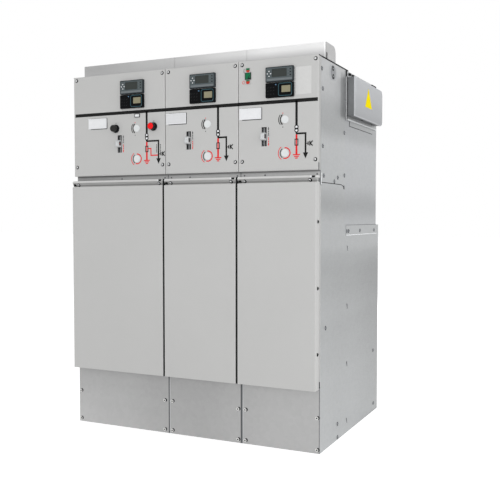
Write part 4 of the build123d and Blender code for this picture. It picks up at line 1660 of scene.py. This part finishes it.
class SWITCHGEAR_OT_line_diagram(bpy.types.Operator):
    """Print the busbar line and each panel's diagram and arrows on the boards."""
    bl_idname = "switchgear.line_diagram"
    bl_label = "Print the line diagram"

    def execute(self, context):
        prints = context.scene.switchgear_prints
        make_busbar_line(prints)
        for name in PANELS:
            make_diagram(name, prints)
            make_drive_marks(name, prints)
        make_gate_marks(prints)
        make_gauge_marks(prints)
        make_button_marks(prints)
        return {"FINISHED"}


class SWITCHGEAR_OT_devices(bpy.types.Operator):
    """Face the meters and indicators, and fill the gauge, labels and rating plate."""
    bl_idname = "switchgear.devices"
    bl_label = "Face the devices"

    def execute(self, context):
        devices = context.scene.switchgear_devices
        for name in PANELS:
            make_meter_front(name, devices)
            make_indicator_front(name, devices)
        make_gauge()
        make_label_cards(devices)
        make_rating_plate(devices)
        return {"FINISHED"}


class SWITCHGEAR_OT_gates(bpy.types.Operator):
    """Line the gate slots and rib the gates' knobs."""
    bl_idname = "switchgear.gates"
    bl_label = "Finish the slide gates"

    def execute(self, context):
        make_slot_liners()
        for name in PANELS:
            make_knob(name)
        return {"FINISHED"}


class SWITCHGEAR_OT_front_fasteners(bpy.types.Operator):
    """Put the screws, rivets and clips on the front."""
    bl_idname = "switchgear.front_fasteners"
    bl_label = "Fasten the front"

    def execute(self, context):
        fasteners = context.scene.switchgear_fasteners
        make_board_screws(fasteners)
        make_rail_rivets(fasteners)
        make_cover_clips(fasteners)
        make_plinth_screws(fasteners)
        return {"FINISHED"}


class SWITCHGEAR_OT_side_fasteners(bpy.types.Operator):
    """Put the screws, tabs and joints on the sides, the rear and the roof."""
    bl_idname = "switchgear.side_fasteners"
    bl_label = "Fasten the sides and rear"

    def execute(self, context):
        fasteners = context.scene.switchgear_fasteners
        make_cover_side(fasteners)
        make_side_screws(fasteners)
        make_side_tabs()
        make_strip_edges()
        make_sheet_joint()
        make_rear_screws(fasteners)
        make_duct_screws(fasteners)
        return {"FINISHED"}


class SWITCHGEAR_OT_busbar_box(bpy.types.Operator):
    """Fit the busbar end box with its slots, clips and plain plate."""
    bl_idname = "switchgear.busbar_box"
    bl_label = "Fit the busbar box"

    def execute(self, context):
        make_busbar_plate()
        make_busbar_slots()
        return {"FINISHED"}


class SWITCHGEAR_OT_stage(bpy.types.Operator):
    """Set up the pale floor, the room, the lamps and the camera."""
    bl_idname = "switchgear.stage"
    bl_label = "Set the stage"

    def execute(self, context):
        stage = context.scene.switchgear_stage
        make_floor(stage)
        make_world(stage)
        powers = (stage.key_power, stage.side_power, stage.back_power)
        for name, power in zip(LAMPS, powers):
            make_lamp(name, *LAMPS[name], power)
        make_camera(stage)
        context.scene.view_settings.view_transform = "Standard"
        return {"FINISHED"}


OPERATORS = (
    SWITCHGEAR_OT_stage,
    SWITCHGEAR_OT_coat_nodes,
    SWITCHGEAR_OT_line_diagram,
    SWITCHGEAR_OT_devices,
    SWITCHGEAR_OT_gates,
    SWITCHGEAR_OT_front_fasteners,
    SWITCHGEAR_OT_side_fasteners,
    SWITCHGEAR_OT_busbar_box,
)
SETTINGS = {
    "switchgear_finishes": FinishSettings,
    "switchgear_fasteners": FastenerSettings,
    "switchgear_prints": PrintSettings,
    "switchgear_devices": DeviceSettings,
    "switchgear_stage": StageSettings,
}


class SWITCHGEAR_PT_block(bpy.types.Panel):
    """The steps that dress the block, in the sidebar."""
    bl_label = "Switchgear block"
    bl_idname = "SWITCHGEAR_PT_block"
    bl_space_type = "VIEW_3D"
    bl_region_type = "UI"
    bl_category = "Switchgear"

    def draw(self, context):
        for operator in OPERATORS:
            self.layout.operator(operator.bl_idname)


def register():
    """Register the settings, the operators and the panel."""
    for name, group in SETTINGS.items():
        bpy.utils.register_class(group)
        setattr(bpy.types.Scene, name, PointerProperty(type=group))
    for item in (*OPERATORS, SWITCHGEAR_PT_block):
        bpy.utils.register_class(item)


def unregister():
    """Take the panel, the operators and the settings away again."""
    for item in (SWITCHGEAR_PT_block, *reversed(OPERATORS)):
        bpy.utils.unregister_class(item)
    for name, group in SETTINGS.items():
        delattr(bpy.types.Scene, name)
        bpy.utils.unregister_class(group)


def main():
    """Dress the block."""
    register()
    bpy.ops.switchgear.stage()
    bpy.ops.switchgear.coat_nodes()
    bpy.ops.switchgear.line_diagram()
    bpy.ops.switchgear.devices()
    bpy.ops.switchgear.gates()
    bpy.ops.switchgear.front_fasteners()
    bpy.ops.switchgear.side_fasteners()
    bpy.ops.switchgear.busbar_box()


if __name__ == "__main__":
    main()
